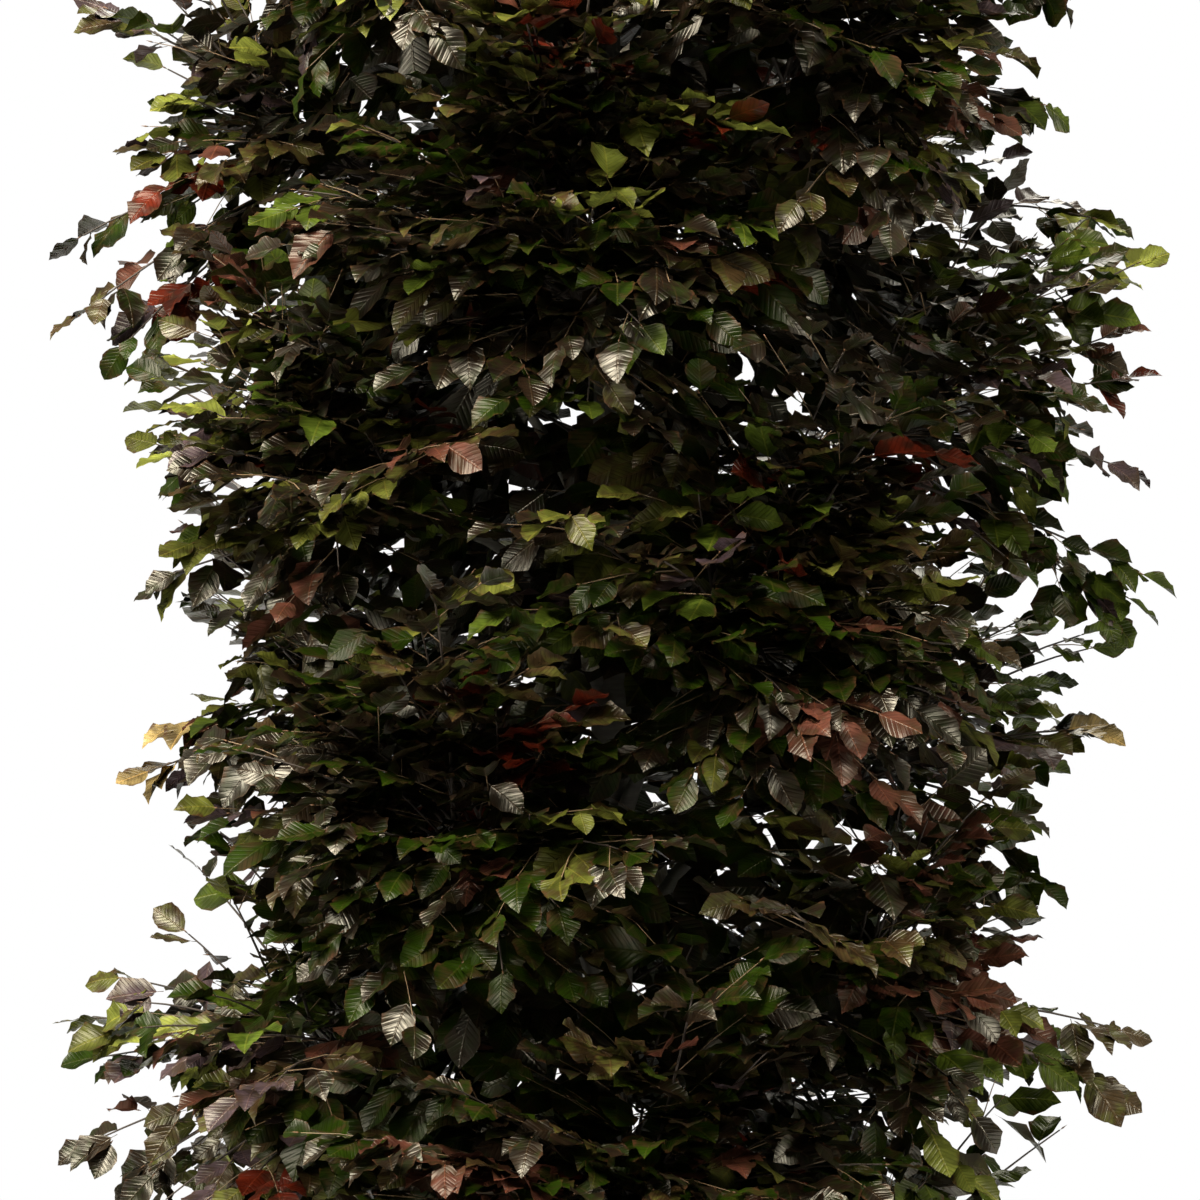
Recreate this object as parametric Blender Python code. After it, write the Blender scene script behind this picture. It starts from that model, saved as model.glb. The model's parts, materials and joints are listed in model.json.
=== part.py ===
"""A columnar copper beech, rooted in level ground, built as trunk, boughs and masses of foliage.

Metres, +Z up. The origin is the middle of the flat cut under the trunk. +X is the right-hand side of
the crown as seen from the front, which faces -Y. Run with: blender --background --python part.py
"""

import bisect
import itertools
import math
import random

import bmesh
import bpy
import numpy as np
from mathutils import Matrix, Vector
from mathutils.bvhtree import BVHTree

# ---------------------------------------------------------------- the whole tree
TREE_HEIGHT = 3.80  # ground to the tip of the leader's last leaf
CROWN_FOOT = 0.36  # lowest shoot tips above the ground
BODY_RADIUS = 0.69  # the column's radius, front and back
SIDE_WAIST = 0.09  # how much slimmer the column is at its left and right sides, between tufts
SHOULDER = 0.60  # share of the crown's height where it starts to draw in to the top
SKIRT = 0.13  # share of the crown's height over which the skirt swells to full width
SKIRT_START = 0.62  # radius of the lowest shoots, as a share of the full radius
GOLDEN_ANGLE = math.radians(137.508)

# Long shoots that stand out at the two sides: side (+1 right, -1 left), height, extra reach, half height
TUFTS = (
    (-1, 2.38, 0.10, 0.09),
    (-1, 2.04, 0.18, 0.10),
    (-1, 1.62, 0.05, 0.08),
    (-1, 1.36, 0.09, 0.10),
    (-1, 1.01, 0.18, 0.10),
    (-1, 0.78, 0.17, 0.06),
    (+1, 2.27, 0.09, 0.08),
    (+1, 2.04, 0.21, 0.08),
    (+1, 1.87, 0.15, 0.07),
    (+1, 1.56, 0.20, 0.07),
    (+1, 1.40, 0.10, 0.08),
    (+1, 0.97, 0.18, 0.10),
)
TUFT_HALF_ANGLE = math.radians(27)

# ---------------------------------------------------------------- trunk
TRUNK_TOP = 3.28  # where the trunk hands over to the leader's foliage
TRUNK_RADIUS = 0.041  # just above the flare
TRUNK_TIP_RADIUS = 0.0065
TRUNK_LEAN = 0.030  # how far the tip stands out of plumb
TRUNK_SWAY = 0.012
FLARE_RADIUS = 0.030  # added at the ground by the root buttresses
FLARE_HEIGHT = 0.085
BUTTRESSES = 5
TRUNK_SIDES = 12
TRUNK_RINGS = 18

# ---------------------------------------------------------------- boughs and masses
MASS_COUNT = 28  # round the trunk; one more sits on the leader
LOWEST_MASS, HIGHEST_MASS = 0.50, 3.30  # heights between which the masses are spread
LEADER_RISE = 0.16  # middle of the leader's mass above the trunk's end
MASS_CENTRE = 0.58  # distance of a mass's middle from the axis, as a share of the crown's radius
CORE_RADIAL, CORE_TANGENT, CORE_HEIGHT = 0.130, 0.280, 0.240  # half sizes of a core at full crown radius
SMALLEST_MASS = 0.55  # size of a mass where the crown draws in to nothing, beside one at its full width
CORE_LUMPS = 0.09  # how uneven a core is
CORE_INSET = 0.175  # leafy shell that a core stays under
CORE_GAP = 0.014  # half the gap between neighbouring cores
LEADER_CORE = (0.12, 0.12, 0.17)  # its half sizes
BOUGH_RISE = 0.27  # how far a bough climbs on its way out
BOUGH_ENTRY = 0.035  # where it meets its mass, below the mass's middle
BOUGH_STOP = 0.030  # how far it ends short of the core
BOUGH_BOW = 0.012  # how far it bends sideways
BOUGH_SIDES = 5
BOUGH_TIP_RADIUS = 0.0062
BOUGH_SHARE = 0.40  # a bough's radius where it leaves the trunk, as a share of the trunk's there
COLLAR = 1.35  # swelling of the bough at its collar
STEM_SIDES = 5
STEM_STRAIGHT = 0.018  # a stem runs on in its bough's direction before it turns to the mass's middle
TWIG_SIDES = 3
TWIG_RADIUS, TWIG_TIP_RADIUS = 0.0060, 0.0042
TWIG_OPEN = 0.080  # least length of a twig outside its core
TWIGS = 140  # shoot tips spread over the whole crown
TWIG_START = 0.10  # a twig starts this share of the way from its mass's middle to its shoot's tip

# ---------------------------------------------------------------- blades, each one standing for a spray
BLADE_LENGTH, BLADE_WIDTH, BLADE_THICK = 0.225, 0.150, 0.0056
BLADE_WIDEST = 0.44  # share of the length from the root
BLADE_FOLD = 0.014  # the two halves fold up from the midrib
BLADE_DROOP = 0.055  # fall of the tip
BLADE_SUNK = 0.0015  # root past the twig's axis
BLADE_LAP = 0.008  # the end blade starts this far before its twig's end
SMALLEST_BLADE = 0.55  # of full size, for an end blade that is short of room
SIDE_BLADES = ((0.80, +1), (0.30, -1))  # place along the twig's open length, and side
SIDE_ANGLES = (48, 66)  # degrees between a side blade and its twig
SIDE_FALL = (0.10, 0.45)  # how far side blades hang, as a share of their length
BLADE_TIPS = (0, -0.35, 0.35, -0.8, 0.8)  # falls and rises tried when a blade lacks room

SEAT_GAP = 0.0003
SPACE_MARGIN = 0.0015  # kept clear inside each mass's own space
LIMB_MARGIN = 0.022  # kept clear between leaves and limbs
TWIG_MARGIN = 0.012  # kept clear between twigs and limbs
SEED = 1107


# ---------------------------------------------------------------- the crown's outline
def profile(height):
    """The column's radius at a height, as a share of BODY_RADIUS."""
    t = (height - CROWN_FOOT) / (TREE_HEIGHT - CROWN_FOOT)
    if t <= 0 or t >= 1:
        return 0.0
    if t < SKIRT:
        swell = math.sin(0.5 * math.pi * t / SKIRT)
        return SKIRT_START + (1 - SKIRT_START) * swell
    if t > SHOULDER:
        return (1 - ((t - SHOULDER) / (1 - SHOULDER)) ** 1.8) ** 0.72
    return 1.0


def angle_between(a, b):
    return abs((a - b + math.pi) % (2 * math.pi) - math.pi)


def reach(azimuth, height):
    """Distance from the trunk's axis to the crown's surface in that direction."""
    side = math.cos(azimuth) ** 4
    waves = 0.055 * math.sin(3 * azimuth + 15.3 * height) + 0.040 * math.sin(5 * azimuth - 9.4 * height + 1.3)
    radius = BODY_RADIUS * profile(height) * (1 + (1 - side) * waves) - SIDE_WAIST * side * profile(height)
    for tuft_side, tuft_height, extra, half_height in TUFTS:
        away = angle_between(azimuth, 0.0 if tuft_side > 0 else math.pi) / TUFT_HALF_ANGLE
        level = (height - tuft_height) / half_height
        radius += extra * math.exp(-away * away - level * level)
    return radius


def equal_area_heights(count, low, high, steps=240):
    """Heights that share the column's surface evenly between count rings."""
    levels = [low + (high - low) * i / steps for i in range(steps + 1)]
    total = [0.0]
    for level in levels[:-1]:
        total.append(total[-1] + max(profile(level), 0.12))
    places = [(i + 0.5) / count * total[-1] for i in range(count)]
    return [levels[min(bisect.bisect_left(total, place), steps)] for place in places]


def polar(azimuth, radius, height):
    return Vector((radius * math.cos(azimuth), radius * math.sin(azimuth), height))


# ---------------------------------------------------------------- limbs
def trunk_centre(height):
    t = height / TREE_HEIGHT
    settle = min(1.0, height / 0.25) ** 2
    across = TRUNK_LEAN * t * t + settle * TRUNK_SWAY * math.sin(5.1 * t)
    along = settle * TRUNK_SWAY * math.sin(7.3 * t + 0.9) - settle * TRUNK_SWAY * math.sin(0.9)
    return Vector((across, along, height))


def trunk_radius(height):
    t = min(height / TRUNK_TOP, 1.0)
    return TRUNK_TIP_RADIUS + (TRUNK_RADIUS - TRUNK_TIP_RADIUS) * (1 - t) ** 0.85


def mass_centres():
    """Middles of the masses, on a golden-angle spiral up the trunk, with the leader's mass last."""
    centres = []
    heights = equal_area_heights(MASS_COUNT, LOWEST_MASS, HIGHEST_MASS)
    for index, height in enumerate(heights):
        azimuth = index * GOLDEN_ANGLE
        centre = polar(azimuth, MASS_CENTRE * BODY_RADIUS * profile(height), height)
        centres.append(centre + trunk_centre(height).xy.to_3d())
    centres.append(trunk_centre(TRUNK_TOP).xy.to_3d() + Vector((0, 0, TRUNK_TOP + LEADER_RISE)))
    return centres


def mass_scale(centre):
    return SMALLEST_MASS + (1 - SMALLEST_MASS) * profile(centre.z)


def bough_path(centre, steps=5):
    """A bough's centreline, from the trunk's axis to the inner face of its mass."""
    size = mass_scale(centre)
    foot_height = centre.z - BOUGH_RISE * (0.55 + 0.45 * size)
    foot = trunk_centre(foot_height)
    out = (centre - trunk_centre(centre.z)).to_2d().to_3d()
    length = out.length - CORE_RADIAL * size * (1 + CORE_LUMPS) - BOUGH_STOP
    out.normalize()
    sideways = Vector((-out.y, out.x, 0))
    rise = centre.z - BOUGH_ENTRY - foot_height
    path = []
    for i in range(steps + 1):
        s = i / steps
        lift = math.sin(0.5 * math.pi * s) * 0.8 + 0.2 * s
        bend = BOUGH_BOW * math.sin(math.pi * s)
        path.append(foot + out * length * s + sideways * bend + Vector((0, 0, rise * lift)))
    return path


def bough_radii(path):
    base = max(BOUGH_SHARE * trunk_radius(path[0].z), BOUGH_TIP_RADIUS * 1.15)
    radii = [base + (BOUGH_TIP_RADIUS - base) * i / (len(path) - 1) for i in range(len(path))]
    radii[0] *= COLLAR
    radii[1] *= 0.5 * (1 + COLLAR)
    return radii


# ---------------------------------------------------------------- each mass keeps to its own space
class Space:
    """Tells whether points lie in one mass's share of the crown and clear of every limb."""

    def __init__(self, centres, limbs):
        self.centres = np.array(centres)
        starts, ends, thick = [], [], []
        for path, radii in limbs:
            for a, b, ra, rb in zip(path, path[1:], radii, radii[1:]):
                starts.append(a)
                ends.append(b)
                thick.append(max(ra, rb))
        self.starts, self.ends = np.array(starts), np.array(ends)
        self.thick = np.array(thick)

    def holds(self, index, points, margin=SPACE_MARGIN):
        """True if the points are nearer this mass's middle than any other, by the margin at least."""
        points = np.asarray(points)
        own = self.centres[index]
        others = np.delete(self.centres, index, axis=0)
        to_own = ((points[:, None, :] - own) ** 2).sum(-1)
        to_other = ((points[:, None, :] - others[None]) ** 2).sum(-1)
        apart = np.linalg.norm(others - own, axis=1)
        inside = (to_other - to_own) / (2 * apart)
        return inside.min() > margin

    def clears_limbs(self, points, margin=LIMB_MARGIN):
        points = np.asarray(points)
        run = self.ends - self.starts
        along = ((points[:, None, :] - self.starts) * run).sum(-1) / (run * run).sum(-1)
        nearest = self.starts + np.clip(along, 0, 1)[..., None] * run
        gap = np.linalg.norm(points[:, None, :] - nearest, axis=-1) - self.thick
        return gap.min() > margin


# ---------------------------------------------------------------- making meshes
def material(name, color, roughness, metallic=0.0):
    made = bpy.data.materials.new(name)
    made.use_nodes = True
    shader = made.node_tree.nodes["Principled BSDF"]
    shader.inputs["Base Color"].default_value = (*color, 1.0)
    shader.inputs["Roughness"].default_value = roughness
    shader.inputs["Metallic"].default_value = metallic
    return made


def helper(obj, collection):
    """Keeps a guide or cutter out of the tree."""
    obj.hide_render = True
    obj.display_type = "WIRE"
    collection.objects.link(obj)
    return obj


def polygon_profile(sides, collection):
    """A regular polygon, the cross-section that a limb's curve is given."""
    curve = bpy.data.curves.new(f"profile_{sides}", "CURVE")
    spline = curve.splines.new("POLY")
    spline.points.add(sides - 1)
    spline.use_cyclic_u = True
    for i, point in enumerate(spline.points):
        turn = 2 * math.pi * i / sides
        point.co = (math.cos(turn), math.sin(turn), 0, 1)
    return helper(bpy.data.objects.new(f"profile_{sides}", curve), collection)


def limb_mesh(name, path, radii, profile_object, collection):
    """A tapering limb with closed ends along a path, as a welded mesh facing out."""
    curve = bpy.data.curves.new(name, "CURVE")
    curve.dimensions = "3D"
    curve.bevel_mode = "OBJECT"
    curve.bevel_object = profile_object
    curve.use_fill_caps = True
    spline = curve.splines.new("POLY")
    spline.points.add(len(path) - 1)
    for point, place, radius in zip(spline.points, path, radii):
        point.co = (*place, 1)
        point.radius = radius
    guide = bpy.data.objects.new(name, curve)
    collection.objects.link(guide)
    bpy.context.view_layer.update()
    mesh = bpy.data.meshes.new_from_object(guide.evaluated_get(bpy.context.evaluated_depsgraph_get()))
    bpy.data.objects.remove(guide)
    bpy.data.curves.remove(curve)
    mesh.name = name
    finished = bmesh.new()
    finished.from_mesh(mesh)
    bmesh.ops.remove_doubles(finished, verts=finished.verts, dist=1e-5)
    bmesh.ops.recalc_face_normals(finished, faces=finished.faces)
    finished.to_mesh(mesh)
    finished.free()
    return mesh


def place(name, mesh, collection, finish=None):
    obj = bpy.data.objects.new(name, mesh)
    if finish:
        mesh.materials.clear()
        mesh.materials.append(finish)
    collection.objects.link(obj)
    return obj


# ---------------------------------------------------------------- trunk
def trunk_heights():
    """Ring heights, closer together in the root flare."""
    return [TRUNK_TOP * (i / TRUNK_RINGS) ** 1.7 for i in range(TRUNK_RINGS + 1)]


def trunk_mesh(name, profile_object, collection, clearance=0.0):
    heights = trunk_heights()
    path = [trunk_centre(h) for h in heights]
    radii = [trunk_radius(h) + clearance for h in heights]
    mesh = limb_mesh(name, path, radii, profile_object, collection)
    for vertex in mesh.vertices:
        axis = trunk_centre(vertex.co.z)
        out = Vector((vertex.co.x - axis.x, vertex.co.y - axis.y, 0))
        if out.length < 1e-6:
            continue
        turn = math.atan2(out.y, out.x)
        buttress = 0.45 + 0.55 * math.cos(BUTTRESSES * turn + 0.6)
        flare = FLARE_RADIUS * math.exp(-vertex.co.z / FLARE_HEIGHT) * max(buttress, 0.12)
        vertex.co += out.normalized() * flare
        if vertex.co.z < 0.004:
            vertex.co.z = 0.0
    return mesh


# ---------------------------------------------------------------- boughs
def bough(index, path, cutter, profile_object, bark, collection):
    """One bough, seated on the trunk with a hairline gap."""
    name = f"bough_{index:02d}"
    mesh = limb_mesh(name, path, bough_radii(path), profile_object, collection)
    obj = place(name, mesh, collection, bark)
    seat = obj.modifiers.new("seat_on_trunk", "BOOLEAN")
    seat.operation = "DIFFERENCE"
    seat.object = cutter
    seat.solver = "MANIFOLD"
    return obj


# ---------------------------------------------------------------- blades
def blade_mesh():
    """A spray's blade: a four-sided bipyramid drawn out to root, tip and two sides, with a folded midrib."""
    shaped = bmesh.new()
    bmesh.ops.create_uvsphere(shaped, u_segments=4, v_segments=2, radius=1.0)
    for vertex in shaped.verts:
        x, y, z = vertex.co
        if abs(z) > 0.5:
            vertex.co = (BLADE_WIDEST * BLADE_LENGTH, 0, 0.5 * BLADE_THICK * z)
        elif abs(y) > 0.5:
            vertex.co = (BLADE_WIDEST * BLADE_LENGTH, 0.5 * BLADE_WIDTH * y, BLADE_FOLD)
        elif x > 0:
            vertex.co = (BLADE_LENGTH, 0, -BLADE_DROOP)
        else:
            vertex.co = (0, 0, 0)
    bmesh.ops.recalc_face_normals(shaped, faces=shaped.faces)
    mesh = bpy.data.meshes.new("blade")
    shaped.to_mesh(mesh)
    shaped.free()
    return mesh


def blade_frame(root, heading, size):
    """Matrix that lays a blade from root along heading, flat side up."""
    along = heading.normalized()
    across = Vector((0, 0, 1)).cross(along)
    if across.length < 0.2:
        across = Vector((-along.y, along.x, 0)) + Vector((0.5, 0.3, 0))
    across.normalize()
    up = along.cross(across)
    turn = Matrix((along, across, up)).transposed().to_4x4()
    return Matrix.Translation(root - along * BLADE_SUNK) @ turn @ Matrix.Scale(size, 4)


def heading_beside(heading, side, rng):
    """Heading of a blade that leaves its twig to one side and hangs a little."""
    level = Vector((heading.x, heading.y, 0))
    if level.length < 0.35:
        level = Vector((0, -1, 0))  # beside an upright shoot
    angle = side * math.radians(rng.uniform(*SIDE_ANGLES))
    aside = Matrix.Rotation(angle, 3, "Z") @ level.normalized()
    aside.z = 0.45 * heading.z - rng.uniform(*SIDE_FALL)
    return aside


def blade_samples(frame):
    """Points spread over a blade, for testing that it has room."""
    widest, half = BLADE_WIDEST * BLADE_LENGTH, 0.5 * BLADE_WIDTH
    flat = [(BLADE_LENGTH, 0, -BLADE_DROOP), (widest, half, BLADE_FOLD), (widest, -half, BLADE_FOLD)]
    flat += [(widest, 0, 0), (0.75 * BLADE_LENGTH, 0.45 * half, 0), (0.75 * BLADE_LENGTH, -0.45 * half, 0)]
    flat += [(0.2 * BLADE_LENGTH, 0, 0)]
    flat += [(0.25 * BLADE_LENGTH, half * 0.5, 0), (0.25 * BLADE_LENGTH, -half * 0.5, 0)]
    return [frame @ Vector(point) for point in flat]


def surface_tree(mesh, frame):
    """The mesh's faces in world space, for testing what crosses what."""
    points = [frame @ vertex.co for vertex in mesh.vertices]
    return BVHTree.FromPolygons(points, [tuple(face.vertices) for face in mesh.polygons])


def seat_blade(index, space, blade, root, heading, size, turns, crowd):
    """The first of a few headings, turned and tipped a little, at which the blade has room, or None."""
    for turn, tip in itertools.product(turns, BLADE_TIPS):
        tipped = Matrix.Rotation(turn, 3, "Z") @ heading + Vector((0, 0, tip))
        frame = blade_frame(root, tipped, size)
        samples = blade_samples(frame)
        if not (space.holds(index, samples) and space.clears_limbs(samples)):
            continue
        tree = surface_tree(blade, frame)
        if not any(tree.overlap(other) for other in crowd):
            crowd.append(tree)
            return frame
    return None


# ---------------------------------------------------------------- masses
def shoot_tips():
    """Tips of the shoots, spread over the crown's surface, and one for each long side tuft."""
    tips = []
    heights = equal_area_heights(TWIGS, CROWN_FOOT + 0.03, TREE_HEIGHT - 0.05)
    for index, height in enumerate(heights):
        azimuth = (index + 0.5) * GOLDEN_ANGLE
        tips.append(polar(azimuth, reach(azimuth, height), height))
    for side, height, _, _ in TUFTS:
        azimuth = 0.0 if side > 0 else math.pi
        tips.append(polar(azimuth, reach(azimuth, height), height))
    tips.append(Vector((*trunk_centre(TREE_HEIGHT).xy, TREE_HEIGHT)))
    return tips


def core_mesh(name, index, centre, space, rng):
    """The dense heart of a mass: a lumpy ball, drawn in wherever it would leave its space."""
    size = mass_scale(centre)
    out = Vector((centre.x, centre.y, 0))
    leader = index == MASS_COUNT
    out = Vector((1, 0, 0)) if leader else out.normalized()
    side = Vector((-out.y, out.x, 0))
    half = LEADER_CORE if leader else (CORE_RADIAL * size, CORE_TANGENT * size, CORE_HEIGHT * size)
    ball = bmesh.new()
    bmesh.ops.create_icosphere(ball, subdivisions=2, radius=1.0)
    for vertex in ball.verts:
        x, y, z = vertex.co
        arm = out * x * half[0] + side * y * half[1] + Vector((0, 0, z * half[2]))
        while arm.length > 0.03 and not core_has_room(index, centre + arm, size, space):
            arm *= 0.95
        vertex.co = centre + arm * (1 - rng.uniform(0, 2 * CORE_LUMPS))
    mesh = bpy.data.meshes.new(name)
    ball.to_mesh(mesh)
    ball.free()
    return mesh


def core_has_room(index, point, size, space):
    """True if a core may reach this point: in its own space, under the leafy shell and off the limbs."""
    azimuth = math.atan2(point.y, point.x)
    under_shell = math.hypot(point.x, point.y) < reach(azimuth, point.z) - CORE_INSET * size
    return under_shell and space.holds(index, [point], CORE_GAP) and space.clears_limbs([point], CORE_GAP)


def stem_path(centre, limb_tip, limb_heading):
    """The mass's stem, which takes over from its limb's tip, a hairline clear, and ends in the core."""
    start = limb_tip + limb_heading * SEAT_GAP
    return [start, start + limb_heading * STEM_STRAIGHT, centre]


def twig_path(start, tip, length, core_tree):
    """A twig from the stem towards a shoot tip, leaving room at its end for the end blade."""
    run = tip - start
    hit = core_tree.ray_cast(start, run.normalized())
    hidden = 0.0 if hit[0] is None else hit[3]
    end = start + run.normalized() * max(hidden + TWIG_OPEN, run.length - length)
    return [start, end]


def hidden_share(path, core_tree):
    """Share of a twig's length that its core hides."""
    run = path[1] - path[0]
    hit = core_tree.ray_cast(path[0], run.normalized())
    return 0.0 if hit[0] is None else min(hit[3] / run.length, 0.8)


def foliage(name, index, centre, limb_tip, limb_heading, tips, space, shapes, leaf_finish, collection):
    """One mass: core, stem, twigs and blades, fused into one closed solid."""
    rng = random.Random(SEED + index)
    pieces = bpy.data.collections.new(name + "_pieces")
    bpy.context.scene.collection.children.link(pieces)
    core = place(name, core_mesh(name, index, centre, space, rng), collection, leaf_finish)
    stem = stem_path(centre, limb_tip, limb_heading)
    radii = [BOUGH_TIP_RADIUS, BOUGH_TIP_RADIUS * 0.95, TWIG_RADIUS * 0.9]
    place(name + "_stem", limb_mesh(name + "_stem", stem, radii, shapes[STEM_SIDES], pieces), pieces)
    core_tree = surface_tree(core.data, Matrix.Identity(4))
    crowd = [core_tree]
    for number, tip in enumerate(tips):
        size = rng.uniform(0.88, 1.10)
        path = twig_path(centre.lerp(tip, TWIG_START), tip, BLADE_LENGTH * size, core_tree)
        samples = [path[0].lerp(path[1], share) for share in (0.25, 0.5, 0.75, 1.0)]
        if not (space.holds(index, samples) and space.clears_limbs(samples, TWIG_MARGIN)):
            continue
        label = f"{name}_twig_{number}"
        radii = [TWIG_RADIUS, TWIG_TIP_RADIUS]
        twig = place(label, limb_mesh(label, path, radii, shapes[TWIG_SIDES], pieces), pieces)
        heading = (path[1] - path[0]).normalized()
        end_size = min(size, max(SMALLEST_BLADE, (tip - path[1]).length / BLADE_LENGTH))
        wanted = [(path[1] - heading * BLADE_LAP, heading, end_size, (0, 0.4, -0.4, 0.8, -0.8))]
        hidden = hidden_share(path, core_tree)
        for share, side in SIDE_BLADES:
            root = path[0].lerp(path[1], hidden + share * (1 - hidden))
            turns = (0, -0.3 * side, 0.3 * side, -0.6 * side, 0.6 * side)
            wanted.append((root, heading_beside(heading, side, rng), size * rng.uniform(0.90, 1.05), turns))
        for root, direction, grown, turns in wanted:
            frame = seat_blade(index, space, shapes["blade"], root, direction, grown, turns, crowd)
            if frame:
                place(label + "_blade", shapes["blade"].copy(), pieces).matrix_world = frame
        crowd.append(surface_tree(twig.data, Matrix.Identity(4)))
    return fuse(core, pieces, leaf_finish)


def fuse(core, pieces, leaf_finish):
    """Joins a mass's pieces onto its core and drops any scrap that the join left loose."""
    join = core.modifiers.new("join", "BOOLEAN")
    join.operation = "UNION"
    join.operand_type = "COLLECTION"
    join.collection = pieces
    join.solver = "MANIFOLD"
    bpy.context.view_layer.update()
    joined = bpy.data.meshes.new_from_object(core.evaluated_get(bpy.context.evaluated_depsgraph_get()))
    core.modifiers.clear()
    core.data = largest_island(joined)
    core.data.name = core.name
    core.data.materials.clear()
    core.data.materials.append(leaf_finish)
    for obj in list(pieces.objects):
        mesh = obj.data
        bpy.data.objects.remove(obj)
        bpy.data.meshes.remove(mesh)
    bpy.data.collections.remove(pieces)
    return core


def largest_island(mesh):
    """The mesh with only its largest piece left, where faces count as one piece if they share an edge."""
    whole = bmesh.new()
    whole.from_mesh(mesh)
    unseen, islands = set(whole.faces), []
    while unseen:
        edge, grown = [unseen.pop()], []
        while edge:
            face = edge.pop()
            grown.append(face)
            beside = {other for side in face.edges for other in side.link_faces} & unseen
            unseen -= beside
            edge.extend(beside)
        islands.append(grown)
    islands.sort(key=len)
    for scrap in islands[:-1]:
        bmesh.ops.delete(whole, geom=scrap, context="FACES")
    bmesh.ops.triangulate(whole, faces=whole.faces)
    kept = bpy.data.meshes.new("kept")
    whole.to_mesh(kept)
    whole.free()
    return kept


def main():
    for obj in list(bpy.data.objects):
        bpy.data.objects.remove(obj)
    tree = bpy.data.collections.new("copper_beech")
    helpers = bpy.data.collections.new("cutters")
    bpy.context.scene.collection.children.link(tree)
    bpy.context.scene.collection.children.link(helpers)
    bark = material("bark", (0.16, 0.145, 0.125), 0.78)
    leaves = material("copper_leaves", (0.060, 0.030, 0.026), 0.42)

    shapes = {n: polygon_profile(n, helpers) for n in (TRUNK_SIDES, BOUGH_SIDES, STEM_SIDES, TWIG_SIDES)}
    shapes["blade"] = blade_mesh()
    trunk = place("trunk", trunk_mesh("trunk", shapes[TRUNK_SIDES], tree), tree, bark)
    trunk.data.shade_smooth()
    cutter_mesh = trunk_mesh("trunk_clearance", shapes[TRUNK_SIDES], helpers, SEAT_GAP)
    cutter = helper(bpy.data.objects.new("trunk_clearance", cutter_mesh), helpers)

    centres = mass_centres()
    paths = [bough_path(centre) for centre in centres[:MASS_COUNT]]
    trunk_line = [trunk_centre(h) for h in trunk_heights()]
    limbs = [(trunk_line, [trunk_radius(h) for h in trunk_heights()])]
    limbs += [(path, bough_radii(path)) for path in paths]
    space = Space(centres, limbs)

    owners = {index: [] for index in range(len(centres))}
    for tip in shoot_tips():
        nearest = min(range(len(centres)), key=lambda i: (centres[i] - tip).length)
        owners[nearest].append(tip)

    for index, path in enumerate(paths):
        bough(index + 1, path, cutter, shapes[BOUGH_SIDES], bark, tree)
        heading = (path[-1] - path[-2]).normalized()
        name = f"foliage_{index + 1:02d}"
        foliage(name, index, centres[index], path[-1], heading, owners[index], space, shapes, leaves, tree)
    top_heading = (trunk_line[-1] - trunk_line[-2]).normalized()
    leader = (centres[-1], trunk_line[-1], top_heading, owners[MASS_COUNT])
    foliage("foliage_top", MASS_COUNT, *leader, space, shapes, leaves, tree)


main()
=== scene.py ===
"""The finished look of a columnar copper beech, laid out as an add-on and run as a script.

Bark, twigs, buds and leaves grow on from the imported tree's own limbs, by the rule that its foliage masses
follow, carried to finer twigs. Metres, +Z up, with the origin under the trunk and the front facing -Y.
"""

import bisect
import functools
import json
import math
import random
from collections import namedtuple

import bpy
import numpy as np
from bpy.props import FloatProperty, FloatVectorProperty, IntProperty, PointerProperty
from mathutils import Matrix, Vector, noise

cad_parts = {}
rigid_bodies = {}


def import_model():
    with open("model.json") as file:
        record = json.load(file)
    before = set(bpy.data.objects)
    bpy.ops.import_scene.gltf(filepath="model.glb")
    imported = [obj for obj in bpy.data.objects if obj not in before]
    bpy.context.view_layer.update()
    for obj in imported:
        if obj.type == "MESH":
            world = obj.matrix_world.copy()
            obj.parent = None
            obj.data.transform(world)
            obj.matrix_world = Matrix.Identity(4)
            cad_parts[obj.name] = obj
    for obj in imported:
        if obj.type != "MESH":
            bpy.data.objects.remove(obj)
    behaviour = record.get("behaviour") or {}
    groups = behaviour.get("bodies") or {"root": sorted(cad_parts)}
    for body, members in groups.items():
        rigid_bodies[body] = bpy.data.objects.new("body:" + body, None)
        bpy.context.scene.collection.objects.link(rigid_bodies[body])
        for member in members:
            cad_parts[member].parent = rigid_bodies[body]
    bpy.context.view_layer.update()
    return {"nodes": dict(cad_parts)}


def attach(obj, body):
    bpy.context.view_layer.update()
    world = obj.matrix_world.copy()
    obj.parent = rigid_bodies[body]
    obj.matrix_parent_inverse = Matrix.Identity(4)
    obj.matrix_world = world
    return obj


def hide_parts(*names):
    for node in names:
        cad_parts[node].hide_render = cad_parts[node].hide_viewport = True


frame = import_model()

bl_info = {
    "name": "Columnar copper beech",
    "version": (1, 0, 0),
    "blender": (4, 5, 0),
    "location": "3D View > Sidebar > Copper beech",
    "description": "Dresses a copper beech's trunk, boughs and foliage masses with bark, twigs and leaves",
    "category": "Object",
}

UP = Vector((0, 0, 1))
GOLDEN_ANGLE = math.radians(137.508)
FOLIAGE_NODES = sorted(name for name in frame["nodes"] if name.startswith("foliage"))
BOUGH_NODES = sorted(name for name in frame["nodes"] if name.startswith("bough"))

# ---- the tree's own sizes, as its solids have them
TREE_HEIGHT = 3.80
CROWN_FOOT = 0.36
BODY_RADIUS = 0.69
SIDE_WAIST = 0.09
SHOULDER, SHOULDER_CURVE, TOP_CURVE = 0.60, 1.8, 0.72  # where and how the top draws in
SKIRT = 0.13
SKIRT_START = 0.62
SIDE_HALF_ANGLE = math.radians(30)
# Waves of the crown's surface: depth, number round it, how they turn with height, start
SURFACE_WAVES = ((0.055, 3, 15.3, 0.0), (0.040, 5, -9.4, 1.3))
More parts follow.
